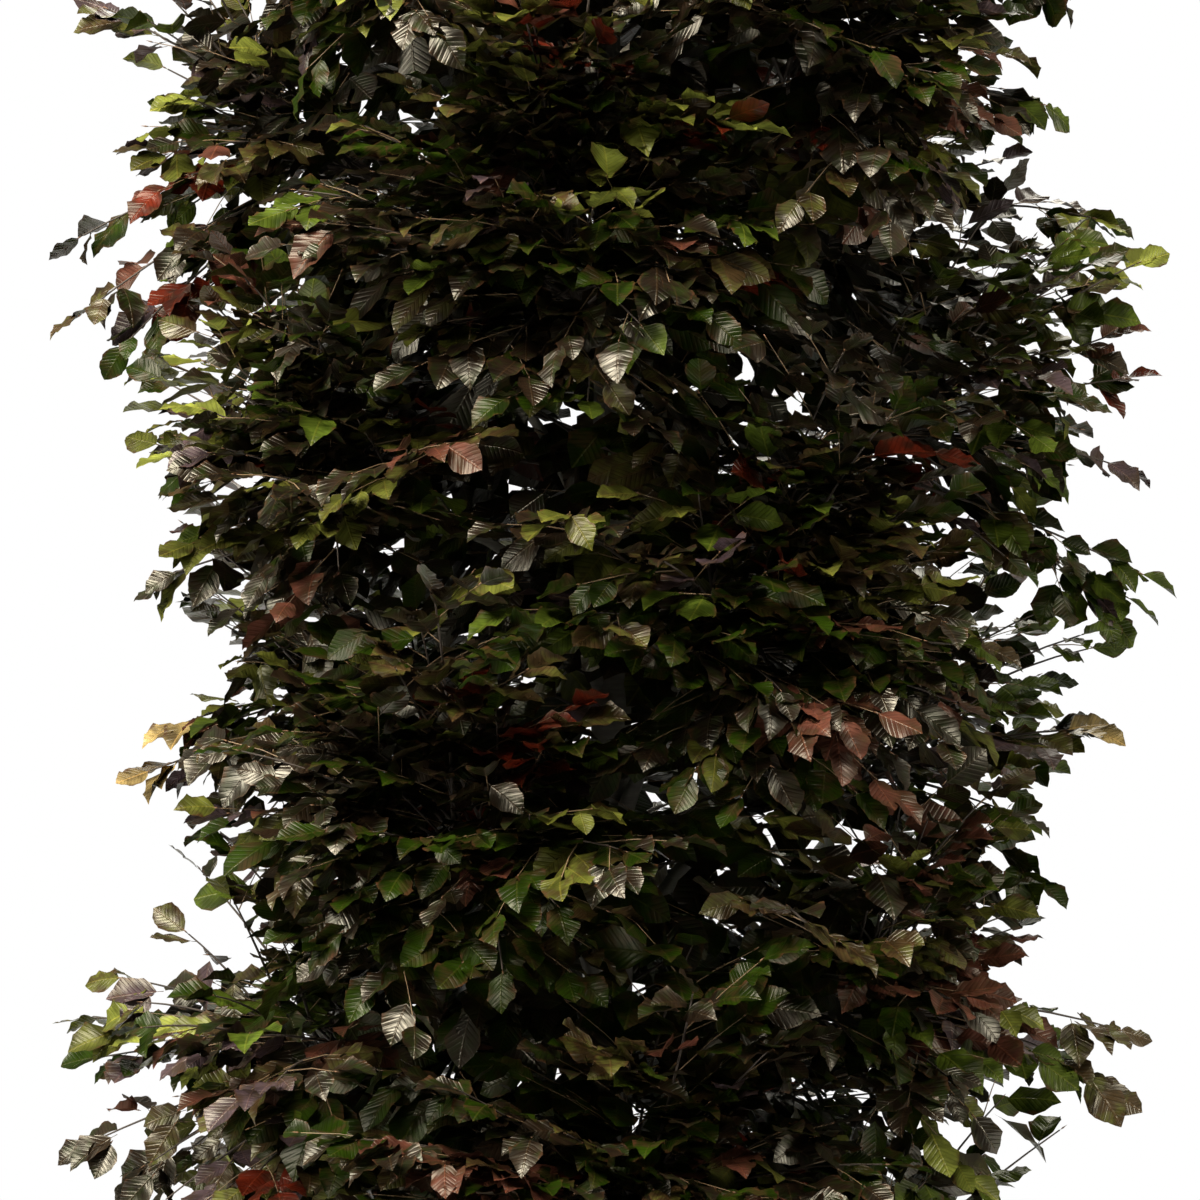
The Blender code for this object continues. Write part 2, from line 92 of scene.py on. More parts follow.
# The leafy body's outline at its left and right side: height and distance out from the trunk's foot
LEFT_SIDE = (
    (0.60, 0.54), (0.76, 0.70), (0.81, 0.70), (0.84, 0.46), (0.91, 0.44), (0.94, 0.70), (0.98, 0.73),
    (1.03, 0.74), (1.08, 0.68), (1.11, 0.47), (1.21, 0.49), (1.25, 0.63), (1.33, 0.66), (1.39, 0.60),
    (1.44, 0.58), (1.50, 0.53), (1.56, 0.54), (1.60, 0.58), (1.70, 0.61), (1.78, 0.64), (1.85, 0.65),
    (1.92, 0.67), (2.00, 0.62), (2.08, 0.62), (2.15, 0.65), (2.22, 0.70), (2.28, 0.64), (2.34, 0.60),
    (2.40, 0.71), (2.46, 0.73), (2.62, 0.60),
)
RIGHT_SIDE = (
    (0.60, 0.54), (0.78, 0.52), (0.86, 0.62), (0.90, 0.73), (0.96, 0.71), (1.01, 0.66), (1.05, 0.58),
    (1.10, 0.54), (1.16, 0.62), (1.25, 0.61), (1.35, 0.66), (1.44, 0.71), (1.50, 0.62), (1.55, 0.73),
    (1.61, 0.75), (1.65, 0.61), (1.72, 0.63), (1.80, 0.69), (1.88, 0.73), (1.97, 0.73), (2.03, 0.66),
    (2.08, 0.75), (2.13, 0.73), (2.17, 0.62), (2.26, 0.64), (2.33, 0.60), (2.44, 0.60), (2.62, 0.60),
)
# Sprays that stand out past the sides: across and up from the trunk's foot, and how leafy they are
SIDE_SPRAYS = (
    (-0.73, 2.45, 0.6), (-0.68, 2.24, 0.6), (-0.78, 2.09, 0.1), (-0.77, 1.97, 0.2), (-0.70, 1.92, 0.6),
    (-0.66, 1.83, 0.6), (-0.65, 1.62, 0.3), (-0.64, 1.42, 0.3), (-0.68, 1.35, 0.4), (-0.61, 1.18, 0.0),
    (-0.72, 1.09, 0.7), (-0.77, 1.02, 0.8), (-0.75, 0.96, 0.5), (-0.76, 0.83, 0.6), (-0.68, 0.79, 0.8),
    (0.68, 2.42, 0.4), (0.66, 2.28, 0.6), (0.79, 2.10, 0.8), (0.74, 2.14, 0.8), (0.71, 2.06, 0.8),
    (0.76, 1.99, 0.5), (0.78, 1.92, 0.4), (0.77, 1.78, 0.1), (0.80, 1.62, 0.9), (0.78, 1.58, 0.9),
    (0.75, 1.54, 0.8), (0.73, 1.43, 0.4), (0.66, 1.18, 0.2), (0.77, 1.00, 0.3), (0.74, 0.93, 0.8),
)
TRUNK_TOP = 3.28
TRUNK_RADIUS = 0.041
TRUNK_TIP_RADIUS = 0.0065
TRUNK_TAPER = 0.85
TRUNK_LEAN = 0.030
TRUNK_SWAY, SWAY_FOOT = 0.012, 0.25  # the trunk doesn't sway at its foot
SWAY_ACROSS, SWAY_ALONG, SWAY_START = 5.1, 7.3, 0.9
FLARE_RADIUS = 0.030
FLARE_HEIGHT = 0.085
BUTTRESSES, BUTTRESS_TURN = 5, 0.6
BUTTRESS_MEAN, BUTTRESS_SWING, BUTTRESS_LEAST = 0.45, 0.55, 0.12
MASS_COUNT = len(BOUGH_NODES)
LOWEST_MASS, HIGHEST_MASS = 0.50, 3.30
LEADER_RISE = 0.16
MASS_CENTRE = 0.58
SMALLEST_MASS = 0.55
CORE_RADIAL = 0.130
CORE_LUMPS = 0.09
BOUGH_RISE = 0.27
BOUGH_ENTRY = 0.035
BOUGH_STOP = 0.030
BOUGH_BOW = 0.012
BOUGH_TIP_RADIUS = 0.0062
BOUGH_SHARE = 0.40
COLLAR, COLLAR_END = 1.35, 0.3
BOUGH_LEAST = 1.15  # least taper of a bough, as its foot's radius over its tip's
BOUGH_EARLY = 0.8  # share of its rise that a bough makes on a curve, steep at the trunk
LOW_RISE = 0.55  # how much of a full bough's rise the smallest one has

# ---- how the twigs go on from there
STEM_END_RADIUS = 0.0040
STEM_REACH = 0.10  # how far a stem runs on past the middle
STEM_OUT, STEM_RISE = 0.8, 0.35  # its heading there
STEM_OVERLAP = 0.02  # share of its run that starts inside the limb
STEM_FORKS = (0.15, 0.85)  # stretch of a stem that carries twigs
STEM_STEPS, TWIG_STEPS = 6, 8
TWIG_BASE_RADIUS, TWIG_END_RADIUS = 0.0030, 0.0011
STOUT_SPAN, LEAST_STOUT = 0.35, 0.3  # a shorter twig is thinner at its base
LEAF_ROOM = 0.85  # share of a leaf's length that a twig ends short of its tip
END_RUN, END_GROWN = 1.4, 0.9  # stretch of a twig's last step that carries leaves, and their size
SHOOT_BASE_RADIUS, SHOOT_END_RADIUS = 0.0011, 0.0006
SHORTEST_TWIG, SHORTEST_SHOOT = 0.05, 0.035  # a shorter shoot's leaves sit on the twig itself
TWIG_ARCH, ARCH_SPREAD = 0.10, (0.4, 1.5)  # rise of a twig's arch, as a share of its length
TWIG_BOW = (-0.06, 0.06)  # the same sideways
FAN_LEAN, FAN_ROLL = (-0.08, 0.26), (-0.36, 0.36)  # tilt of a twig's fan outwards and sideways
FIRST_NODE, LAST_NODE = 0.24, 0.92  # stretch of a twig that carries side shoots
NODE_SPREAD, SPRAY_NODE_GAP = (0.8, 1.2), 1.2  # how gaps between shoots vary, and a side spray's share
SHOOT_ANGLE, SHOOT_ANGLE_FALL = math.radians(60), math.radians(18)
SHOOT_TURN = (-9, 9)  # degrees either way
SHOOT_TAPER, SHOOT_SPREAD = 0.60, (0.70, 1.20)  # shoots are shorter towards the twig's tip
SHOOT_DROOP, SHOOT_FORWARD = (0.02, 0.22), 0.15  # how a shoot's tip bends, as shares of its length
SHOOT_DRAWN_IN, SHORTEST_DRAWN_IN = 0.8, 0.02  # a shoot that would leave the crown is shortened step by step
SHOOT_BEND, SHOOT_ARCH = 0.04, 0.03  # how a shoot bends in the middle, as shares of its length
SHOOT_TIP_LEAF = 0.6  # share of a leaf's length that has to fit past the shoot's tip
TRUNK_SHOOT_RISE = (0.03, 0.14)  # how far a shoot from the trunk climbs to its tip
LIMB_DROP = 0.10  # how far under its tip a twig looks for the nearest limb
LIMB_MARGIN, LEAF_MIDDLE = 0.012, 0.035  # least gap from a limb to a leaf's middle, and where that is
SIDE_SLACK = 0.015  # how far a leaf's tip may pass the side's line
SPRAY_NODE = 0.36  # where a side spray's shoots begin
SPRAY_ROLL = (0.15, 0.60)  # how far a side spray is turned to the front
SPRAY_SHOOT = 0.45  # a leafy side spray's shoots, as a share of the others
SPRAY_DEPTH = (-0.12, 0.04)  # how far before or behind the trunk a side spray's tip is
LEADER_LEAFINESS = 0.8
EDGE_ON = 0.3  # a shoot nearer to its fan's upright than this takes the crown's sideways for across
STALK = 0.009
LEAF_ANGLE, LEAF_ANGLE_FALL = (58, 38), 12  # degrees between a leaf and its shoot
LEAF_SPREAD, TIP_LEAF_SPREAD = (0.72, 1.10), (0.75, 1.0)  # leaf sizes along a shoot and at its tip
LEAF_DROOP, LEAF_FACE, LEAF_SCATTER = (-0.10, 0.28), (-0.28, 0.40), 0.16  # droop, facing outwards, straying
HANGING_DROOP, HANGING_FACE = (0.3, 0.9), (0.7, 1.6)  # the same where it hangs
UNEVENNESS, SIDE_UNEVENNESS = 0.25, 0.15  # spread of the leaves' facing, and what the open sides add
SIDE_TURN = 0.7  # how far leaves at the two open sides turn to the front or back
HANGING_SHARE = 0.08  # leaves at the surface that hang with their upper face outward
HANGING_INSIDE = 0.75  # the same in the crown's shade
INNER_LEAF = 1.22  # leaves in the shade are larger
FINE_DEPTH = 0.13  # leaves nearer to the surface than this have a fine outline
PIECE_TRIANGLES = 190_000  # most triangles in one joined piece
VEINS = 9  # pairs of side veins on a leaf

# Shells of twigs: name, share of the crown's reach, how far tips may fall short of it
SHELLS = (("outer", 1.00, 0.10), ("middle", 0.83, 0.12), ("inner", 0.54, 0.20))
SHELL_FOOT, SHELL_TOP = CROWN_FOOT + 0.03, TREE_HEIGHT - 0.05
OPEN_SIDES = (0.30, 0.56)  # from where across to where the sides thin out
THINNED_SHOOTS, THINNED_LEAVES = 0.66, 0.30  # share left out at the very side

# A twig's fan of shoots: its centreline, the way it faces, the way out, its shell and how leafy it is
Fan = namedtuple("Fan", "curve lie out shell leafy")
Twig = namedtuple("Twig", "path start_radius end_radius")
Leaf = namedtuple("Leaf", "root along facing size fine tint")
Sizes = namedtuple("Sizes", "seed twig_counts shoot_length node_gap leaf_gap")


# ---- outline and limbs
def profile(height):
    """The column's radius at a height, as a share of BODY_RADIUS."""
    t = (height - CROWN_FOOT) / (TREE_HEIGHT - CROWN_FOOT)
    if t <= 0 or t >= 1:
        return 0.0
    if t < SKIRT:
        return SKIRT_START + (1 - SKIRT_START) * math.sin(0.5 * math.pi * t / SKIRT)
    if t > SHOULDER:
        return (1 - ((t - SHOULDER) / (1 - SHOULDER)) ** SHOULDER_CURVE) ** TOP_CURVE
    return 1.0


def clamp(value, low=0.0, high=1.0):
    return min(high, max(low, value))


def angle_between(a, b):
    return abs((a - b + math.pi) % (2 * math.pi) - math.pi)


def along_line(line, height):
    """A value read off a line of (height, value) pairs, held at its ends."""
    index = bisect.bisect_left(line, (height,))
    if index in (0, len(line)):
        return line[min(index, len(line) - 1)][1]
    (low, first), (high, second) = line[index - 1], line[index]
    return first + (second - first) * (height - low) / (high - low)


def side_line(across, height):
    """How far out the leafy body stands at its left or right side, or None above and below those sides."""
    line = LEFT_SIDE if across < 0 else RIGHT_SIDE
    return along_line(line, height) if line[0][0] < height < line[-1][0] else None


def reach(azimuth, height):
    """Distance from the trunk's axis to the crown's surface in that direction."""
    side = math.cos(azimuth) ** 4
    waves = sum(d * math.sin(n * azimuth + turn * height + start) for d, n, turn, start in SURFACE_WAVES)
    radius = BODY_RADIUS * profile(height) * (1 + (1 - side) * waves) - SIDE_WAIST * side * profile(height)
    line = side_line(math.cos(azimuth), height)
    if line is None:
        return radius
    away = min(angle_between(azimuth, 0.0), angle_between(azimuth, math.pi)) / SIDE_HALF_ANGLE
    return radius + (line - radius) * math.exp(-away * away)


def depth_under_surface(point):
    return reach(math.atan2(point.y, point.x), point.z) - math.hypot(point.x, point.y)


def past_side(root, along, length):
    """Whether a leaf would stand out past the leafy body's left or right side."""
    tip = root + along * length
    line = side_line(tip.x, tip.z)
    return line is not None and abs(tip.x) > line + SIDE_SLACK


def openness(place):
    """How far a place lies towards the crown's open left and right sides, from 0 to 1."""
    start, full = OPEN_SIDES
    return clamp((abs(place.x) - start) / (full - start))


def equal_area_heights(count, low, high, steps=240):
    """Heights that share the column's surface evenly between count rings."""
    levels = [low + (high - low) * i / steps for i in range(steps + 1)]
    total = [0.0]
    for level in levels[:-1]:
        total.append(total[-1] + max(profile(level), 0.12))
    places = [(i + 0.5) / count * total[-1] for i in range(count)]
    return [levels[min(bisect.bisect_left(total, place), steps)] for place in places]


def polar(azimuth, radius, height):
    return Vector((radius * math.cos(azimuth), radius * math.sin(azimuth), height))


def beside(out):
    """The level direction square to one that points out from the trunk."""
    return Vector((-out.y, out.x, 0))


def trunk_centre(height):
    t = height / TREE_HEIGHT
    sway = min(1.0, height / SWAY_FOOT) ** 2 * TRUNK_SWAY
    across = TRUNK_LEAN * t * t + sway * math.sin(SWAY_ACROSS * t)
    along = sway * math.sin(SWAY_ALONG * t + SWAY_START) - sway * math.sin(SWAY_START)
    return Vector((across, along, height))


def trunk_radius(height):
    t = min(height / TRUNK_TOP, 1.0)
    return TRUNK_TIP_RADIUS + (TRUNK_RADIUS - TRUNK_TIP_RADIUS) * (1 - t) ** TRUNK_TAPER


def flared_radius(height, turn):
    """The trunk's radius with its root flare, which turns round the foot in low buttresses."""
    buttress = BUTTRESS_MEAN + BUTTRESS_SWING * math.cos(BUTTRESSES * turn + BUTTRESS_TURN)
    flare = FLARE_RADIUS * math.exp(-height / FLARE_HEIGHT) * max(buttress, BUTTRESS_LEAST)
    return trunk_radius(height) + flare


def mass_centres():
    """Middles of the masses, on a golden-angle spiral up the trunk, with the leader's mass last."""
    centres = []
    for index, height in enumerate(equal_area_heights(MASS_COUNT, LOWEST_MASS, HIGHEST_MASS)):
        centre = polar(index * GOLDEN_ANGLE, MASS_CENTRE * BODY_RADIUS * profile(height), height)
        centres.append(centre + trunk_centre(height).xy.to_3d())
    centres.append(trunk_centre(TRUNK_TOP).xy.to_3d() + Vector((0, 0, TRUNK_TOP + LEADER_RISE)))
    return centres


def bough_path(centre, steps):
    """A bough's centreline, from the trunk's axis to the inner face of its mass."""
    size = SMALLEST_MASS + (1 - SMALLEST_MASS) * profile(centre.z)
    foot_height = centre.z - BOUGH_RISE * (LOW_RISE + (1 - LOW_RISE) * size)
    foot = trunk_centre(foot_height)
    out = (centre - trunk_centre(centre.z)).to_2d().to_3d()
    length = out.length - CORE_RADIAL * size * (1 + CORE_LUMPS) - BOUGH_STOP
    out.normalize()
    rise = centre.z - BOUGH_ENTRY - foot_height
    path = []
    for i in range(steps + 1):
        s = i / steps
        lift = math.sin(0.5 * math.pi * s) * BOUGH_EARLY + (1 - BOUGH_EARLY) * s
        bow = beside(out) * BOUGH_BOW * math.sin(math.pi * s)
        path.append(foot + out * length * s + bow + UP * rise * lift)
    return path


def bough_radius(foot_height, s):
    """Radius at share s of the bough's run, with its collar at the trunk."""
    base = max(BOUGH_SHARE * trunk_radius(foot_height), BOUGH_TIP_RADIUS * BOUGH_LEAST)
    collar = 1 + (COLLAR - 1) * max(0.0, 1 - s / COLLAR_END)
    return (base + (BOUGH_TIP_RADIUS - base) * s) * collar


def bezier(start, bend, end, s):
    return start * (1 - s) ** 2 + bend * (2 * s * (1 - s)) + end * s * s


def bezier_heading(start, bend, end, s):
    return ((bend - start) * (1 - s) + (end - bend) * s).normalized()


# ---- where each tint grows
# For each tint: the tint that mottles it, the strength of its gloss, and how common it is in the body of the
# crown, at its left and its right outline and low down. The last one is only in single sprays.
# The lighter green tints are commoner at the left and right outline: partly the leaves' own green, partly
# painted back-light through the leaves there.
Tint = namedtuple("Tint", "mottle gloss body left right low")
TINTS = {
    "purple": Tint("green", 0.56, 0.47, 0.22, 0.11, 0.28),
    "bronze": Tint("olive", 0.50, 0.08, 0.14, 0.09, 0.05),
    "green": Tint("bronze", 0.17, 0.29, 0.12, 0.34, 0.60),
    "fresh": Tint("green", 0.15, 0.04, 0.11, 0.21, 0.02),
    "olive": Tint("bronze", 0.20, 0.065, 0.15, 0.08, 0.02),
    "lime": Tint("olive", 0.20, 0.006, 0.06, 0.035, 0.003),
    "copper": Tint("bronze", 0.28, 0.025, 0.045, 0.030, 0.030),
    "red": Tint("purple", 0.20, 0.020, 0.025, 0.025, 0.010),
    # Pale purple: partly the leaves' own colour, partly a painted grey-pink sheen of the purple leaves.
    "mauve": Tint("bronze", 0.35, 0.010, 0.180, 0.120, 0.003),
    "ochre": Tint("bronze", 0.30, 0.0, 0.0, 0.0, 0.0),
}
OUTLINE_START, OUTLINE_BAND = 0.34, 0.24  # where across the outline's mix begins, and how soon it is full
LOW_TOP, LOW_BAND = 1.50, 0.45  # the same for the low part, downwards
DRIFT_SCALE, DRIFT_STRENGTH = 4.5, 2.2  # patches in which one tint or another is more common

# Single sprays of one tint, in front and at the sides: across and up from the trunk's foot, half size, tint
ACCENTS = (
    (0.0, 2.345, 0.05, "red"), (-0.11, 2.405, 0.05, "copper"), (-0.56, 2.04, 0.04, "red"),
    (-0.59, 2.3, 0.06, "lime"), (-0.28, 2.37, 0.045, "lime"), (-0.1, 2.3, 0.05, "olive"),
    (0.13, 2.26, 0.06, "lime"), (0.0, 2.12, 0.035, "lime"), (0.47, 2.29, 0.05, "copper"),
    (-0.38, 2.06, 0.05, "copper"), (-0.52, 1.9, 0.05, "lime"), (-0.57, 1.88, 0.09, "olive"),
    (-0.6, 1.74, 0.06, "olive"), (-0.35, 0.93, 0.04, "copper"), (0.41, 1.28, 0.06, "copper"),
    (0.3, 1.45, 0.045, "copper"), (0.49, 1.08, 0.06, "copper"), (-0.14, 0.87, 0.05, "copper"),
    (-0.17, 0.9, 0.03, "lime"), (0.17, 0.86, 0.05, "copper"), (0.04, 1.06, 0.06, "bronze"),
    (0.56, 1.54, 0.045, "lime"), (0.73, 2.09, 0.065, "lime"), (0.7, 2.13, 0.09, "fresh"),
    (0.62, 2.29, 0.06, "fresh"), (0.73, 1.56, 0.08, "fresh"), (0.72, 1.41, 0.04, "ochre"),
    (0.7, 1.0, 0.08, "bronze"), (0.62, 1.16, 0.06, "green"), (-0.75, 2.08, 0.06, "purple"),
    (-0.73, 1.96, 0.06, "bronze"), (-0.64, 1.6, 0.08, "purple"), (-0.63, 1.41, 0.06, "ochre"),
    (-0.7, 1.03, 0.06, "olive"), (-0.69, 0.91, 0.05, "fresh"), (-0.65, 0.81, 0.07, "purple"),
)
ACCENT_SHARE = 0.8  # how many of the sprays there take the tint
ACCENT_BACK, ACCENT_DEPTH = 0.06, 0.16  # how far back, and how far under the surface, they still do


def tint_shares(place):
    """How likely each tint is for a spray at this place, drifting from patch to patch."""
    # Partly painted back-light: towards the left and right outline the mix turns to the lighter green tints.
    outline = clamp((abs(place.x) - OUTLINE_START) / OUTLINE_BAND)
    low = clamp((LOW_TOP - place.z) / LOW_BAND) * (1 - outline)
    shares = []
    for index, tint in enumerate(TINTS.values()):
        edge = tint.left if place.x < 0 else tint.right
        share = tint.body * (1 - outline) * (1 - low) + edge * outline + tint.low * low
        drift = noise.noise(place * DRIFT_SCALE + Vector((17.3 * index, 5.1, 2.9)))
        shares.append(share * math.exp(DRIFT_STRENGTH * drift))
    return shares


def spray_tint(place, rng):
    """The tint that a spray takes, by its place in the crown."""
    drawn = rng.random()
    for across, height, half, tint in ACCENTS:
        near = math.hypot(place.x - across, place.z - height) < half
        shown = near and place.y < ACCENT_BACK and depth_under_surface(place) < ACCENT_DEPTH
        if shown and rng.random() < ACCENT_SHARE:
            return tint
    shares = tint_shares(place)
    target = drawn * sum(shares)
    for tint, share in zip(TINTS, shares):
        target -= share
        if target <= 0:
            return tint
    return "purple"


# ---- growth
def shell_tips(count, share, slack, rng):
    """Tips of one shell's twigs, spread over the crown on a golden-angle spiral."""
    tips = []
    for index, height in enumerate(equal_area_heights(count, SHELL_FOOT, SHELL_TOP)):
        azimuth = (index + 0.5) * GOLDEN_ANGLE
        short = slack * rng.random() ** 2
        tips.append(polar(azimuth, max(reach(azimuth, height) * share - short, 0.05), height))
    return tips


def spray_tips(rng):
    """Tips of the sprays at the two sides and of the leader, and how leafy each is."""
    tips = [(Vector((x, rng.uniform(*SPRAY_DEPTH), height)), leafy) for x, height, leafy in SIDE_SPRAYS]
    return tips + [(Vector((*trunk_centre(TREE_HEIGHT).xy, TREE_HEIGHT)), LEADER_LEAFINESS)]


def front_of(across, height):
    """The place on the crown's front at a distance across and up from the trunk's foot."""
    azimuth = -0.5 * math.pi
    for _ in range(4):
        azimuth = -math.acos(clamp(across / reach(azimuth, height), -1.0))
    return polar(azimuth, reach(azimuth, height), height)


class Crown:
    """Grows twigs, side shoots, buds and leaves from the limbs' tips out to the crown's surface."""

    def __init__(self, sizes, leaf_length):
        self.sizes, self.leaf_length = sizes, leaf_length
        self.rng = random.Random(sizes.seed)
        self.centres = mass_centres()
        self.stems, self.twigs, self.shoots, self.buds, self.leaves = [], [], [], [], []
        self.stem_runs = [self.grow_stem(index, centre) for index, centre in enumerate(self.centres)]

    def grow_stem(self, index, centre):
        """The limb's own growth past its tip, through the mass's middle."""
        if index < MASS_COUNT:
            tip = bough_path(centre, 5)[-1]
            outward = (centre - trunk_centre(centre.z)).to_2d().to_3d().normalized()
            onward = outward * STEM_OUT + UP * STEM_RISE
        else:
            tip = trunk_centre(TRUNK_TOP)
            onward = UP
        end = centre + onward * STEM_REACH
        foot = tip - (centre - tip) * STEM_OVERLAP
        path = [bezier(foot, centre, end, i / STEM_STEPS) for i in range(STEM_STEPS + 1)]
        start_radius = BOUGH_TIP_RADIUS if index < MASS_COUNT else TRUNK_TIP_RADIUS
        self.stems.append(Twig(path, start_radius, STEM_END_RADIUS))
        return tip, centre, end

    def foot_of(self, tip, out, shell):
        """Where a twig leaves its limb: the trunk for the inner shell, else the nearest mass's stem."""
        height = tip.z - self.rng.uniform(*TRUNK_SHOOT_RISE)
        if shell == "inner" and CROWN_FOOT < height < TRUNK_TOP:
            return trunk_centre(height) + out * trunk_radius(height) * 0.9
        aim = tip - UP * (0 if shell == "spray" else LIMB_DROP)
        owner = min(range(len(self.centres)), key=lambda i: (self.centres[i] - aim).length)
        return bezier(*self.stem_runs[owner], self.rng.uniform(*STEM_FORKS))

    def grow_twig(self, tip, shell, leafy=1.0):
        """One twig to a tip, with side shoots in a flat fan and leaves along them."""
        rng = self.rng
        spray = shell == "spray"
        out = Vector((tip.x, tip.y, 0))
        out = out.normalized() if out.length > 0.08 else Vector((0, -1, 0))
        start = self.foot_of(tip, out, shell)
        end = tip - (tip - start).normalized() * self.leaf_length * LEAF_ROOM
        span = (end - start).length
        if span < SHORTEST_TWIG:
            return
        bow = beside(out) * rng.uniform(*TWIG_BOW)
        bend = start.lerp(end, 0.5) + (UP * TWIG_ARCH * rng.uniform(*ARCH_SPREAD) + bow) * span
        curve = (start, bend, end)
        path = [bezier(*curve, i / TWIG_STEPS) for i in range(TWIG_STEPS + 1)]
        stout = min(1.0, span / STOUT_SPAN + LEAST_STOUT)
        self.twigs.append(Twig(path, TWIG_BASE_RADIUS * stout, TWIG_END_RADIUS))
        roll = Vector((0, -rng.uniform(*SPRAY_ROLL), 0)) if spray else beside(out) * rng.uniform(*FAN_ROLL)
        fan = Fan(curve, (UP + out * rng.uniform(*FAN_LEAN) + roll).normalized(), out, shell, leafy)
        side = rng.choice((-1, 1))
        gap = self.sizes.node_gap / span * (SPRAY_NODE_GAP if spray else 1.0)
        s = (SPRAY_NODE if spray else FIRST_NODE) + gap * rng.random()
        while s < LAST_NODE:
            self.grow_shoot(fan, s, side)
            side = -side
            s += gap * rng.uniform(*NODE_SPREAD)
        last = path[-1]
        self.leaf_run(fan, last - (last - path[-2]) * END_RUN, last, spray_tint(last, rng), END_GROWN)

    def grow_shoot(self, fan, s, side):
        """A side shoot in the fan's plane, drawn in where it would leave the crown."""
        rng, out, spray = self.rng, fan.out, fan.shell == "spray"
        base = bezier(*fan.curve, s)
        if not spray and rng.random() < THINNED_SHOOTS * openness(base):
            return
        heading = bezier_heading(*fan.curve, s)
        across = fan.lie.cross(heading)
        if across.length < EDGE_ON:
            across = beside(out) + out * rng.uniform(-1, 1)
        across.normalize()
        angle = SHOOT_ANGLE - SHOOT_ANGLE_FALL * s + math.radians(rng.uniform(*SHOOT_TURN))
        direction = heading * math.cos(angle) + across * side * math.sin(angle)
        length = self.sizes.shoot_length * (1 - SHOOT_TAPER * s) * rng.uniform(*SHOOT_SPREAD)
        if spray:
            length *= SPRAY_SHOOT * fan.leafy
        leaf = self.leaf_length * SHOOT_TIP_LEAF
        while not spray and length > SHORTEST_DRAWN_IN:
            if depth_under_surface(base + direction * (length + leaf)) >= 0:
                break
            length *= SHOOT_DRAWN_IN
        end = base + direction * length + heading * length * SHOOT_FORWARD
        end -= UP * length * rng.uniform(*SHOOT_DROOP)
        tint = spray_tint(base.lerp(end, 0.7), rng)
        if length > SHORTEST_SHOOT:
            middle = base.lerp(end, 0.5) + direction * length * SHOOT_BEND + UP * length * SHOOT_ARCH
            self.shoots.append(Twig([base, middle, end], SHOOT_BASE_RADIUS, SHOOT_END_RADIUS))
        self.leaf_run(fan, base, end, tint, 1.0)

    def leaf_run(self, fan, start, end, tint, grown):
        """Alternate leaves in two ranks along a shoot, one at its tip, and the bud there."""
        rng = self.rng
        heading = (end - start).normalized()
        across = fan.lie.cross(heading)
        across = across.normalized() if across.length > EDGE_ON else beside(fan.out)
        count = max(1, round((end - start).length / self.sizes.leaf_gap))
        side = rng.choice((-1, 1))
        for i in range(count):
            share = (i + 0.7) / (count + 0.4)
            place = start.lerp(end, share)
            angle = math.radians(rng.uniform(*LEAF_ANGLE) - LEAF_ANGLE_FALL * share)
            along = heading * math.cos(angle) + across * side * math.sin(angle)
            middling = 0.80 + 0.30 * math.sin(math.pi * min(share + 0.2, 1))
            self.grow_leaf(fan, place, along, grown * rng.uniform(*LEAF_SPREAD) * middling, tint)
            side = -side
        self.grow_leaf(fan, end, heading, grown * rng.uniform(*TIP_LEAF_SPREAD), tint)
        self.buds.append((end, heading))

    def grow_leaf(self, fan, root, along, size, tint):
        """One leaf, drooping and turned its own way; none past the sides, and fewer near them."""
        rng, openly = self.rng, openness(root)
        near_surface = fan.shell in ("outer", "spray")
        if fan.shell != "spray":
            if past_side(root, along, self.leaf_length) or rng.random() < THINNED_LEAVES * openly:
                return
        hanging = rng.random() < (HANGING_SHARE if near_surface else HANGING_INSIDE)
        droop = rng.uniform(*(HANGING_DROOP if hanging else LEAF_DROOP))
        scatter = Vector((rng.gauss(0, LEAF_SCATTER), rng.gauss(0, LEAF_SCATTER), 0))
        along = (along - UP * droop + scatter).normalized()
        outward = rng.uniform(*(HANGING_FACE if hanging else LEAF_FACE))
        unevenness = UNEVENNESS + SIDE_UNEVENNESS * openly
        turned = math.copysign(rng.uniform(0, SIDE_TURN) * openly, root.y)
        tilt = fan.out * outward + Vector((rng.gauss(0, unevenness), turned + rng.gauss(0, unevenness), 0))
        facing = fan.lie + tilt
        facing = (facing - along * facing.dot(along)).normalized()
        fine = near_surface and depth_under_surface(root + along * self.leaf_length) < FINE_DEPTH
        size *= 1 if near_surface else INNER_LEAF
        self.leaves.append(Leaf(root, along, facing, size, fine, tint))

    def grow(self):
        for (shell, share, slack), count in zip(SHELLS, self.sizes.twig_counts):
            for tip in shell_tips(count, share, slack, self.rng):
                self.grow_twig(tip, shell)
        for tip, leafy in spray_tips(self.rng):
            self.grow_twig(tip, "spray", leafy)
        for across, height, _, _ in ACCENTS:
            self.grow_twig(front_of(across, height), "outer")
        self.leaves = clear_of_limbs(self.leaves, self.centres)
        return self


def limb_runs(centres):
    """Starts, ends and radii of the straight runs that the trunk and the boughs are made of."""
    limbs = []
    for centre in centres[:MASS_COUNT]:
        path = bough_path(centre, 5)
        limbs.append((path, [bough_radius(path[0].z, i / 5) for i in range(5)]))
    heights = np.linspace(0, TRUNK_TOP, 20)
    limbs.append(([trunk_centre(h) for h in heights], [trunk_radius(h) for h in heights[:-1]]))
    starts = np.array([place for path, _ in limbs for place in path[:-1]])
    ends = np.array([place for path, _ in limbs for place in path[1:]])
    return starts, ends, np.array([radius for _, radii in limbs for radius in radii])


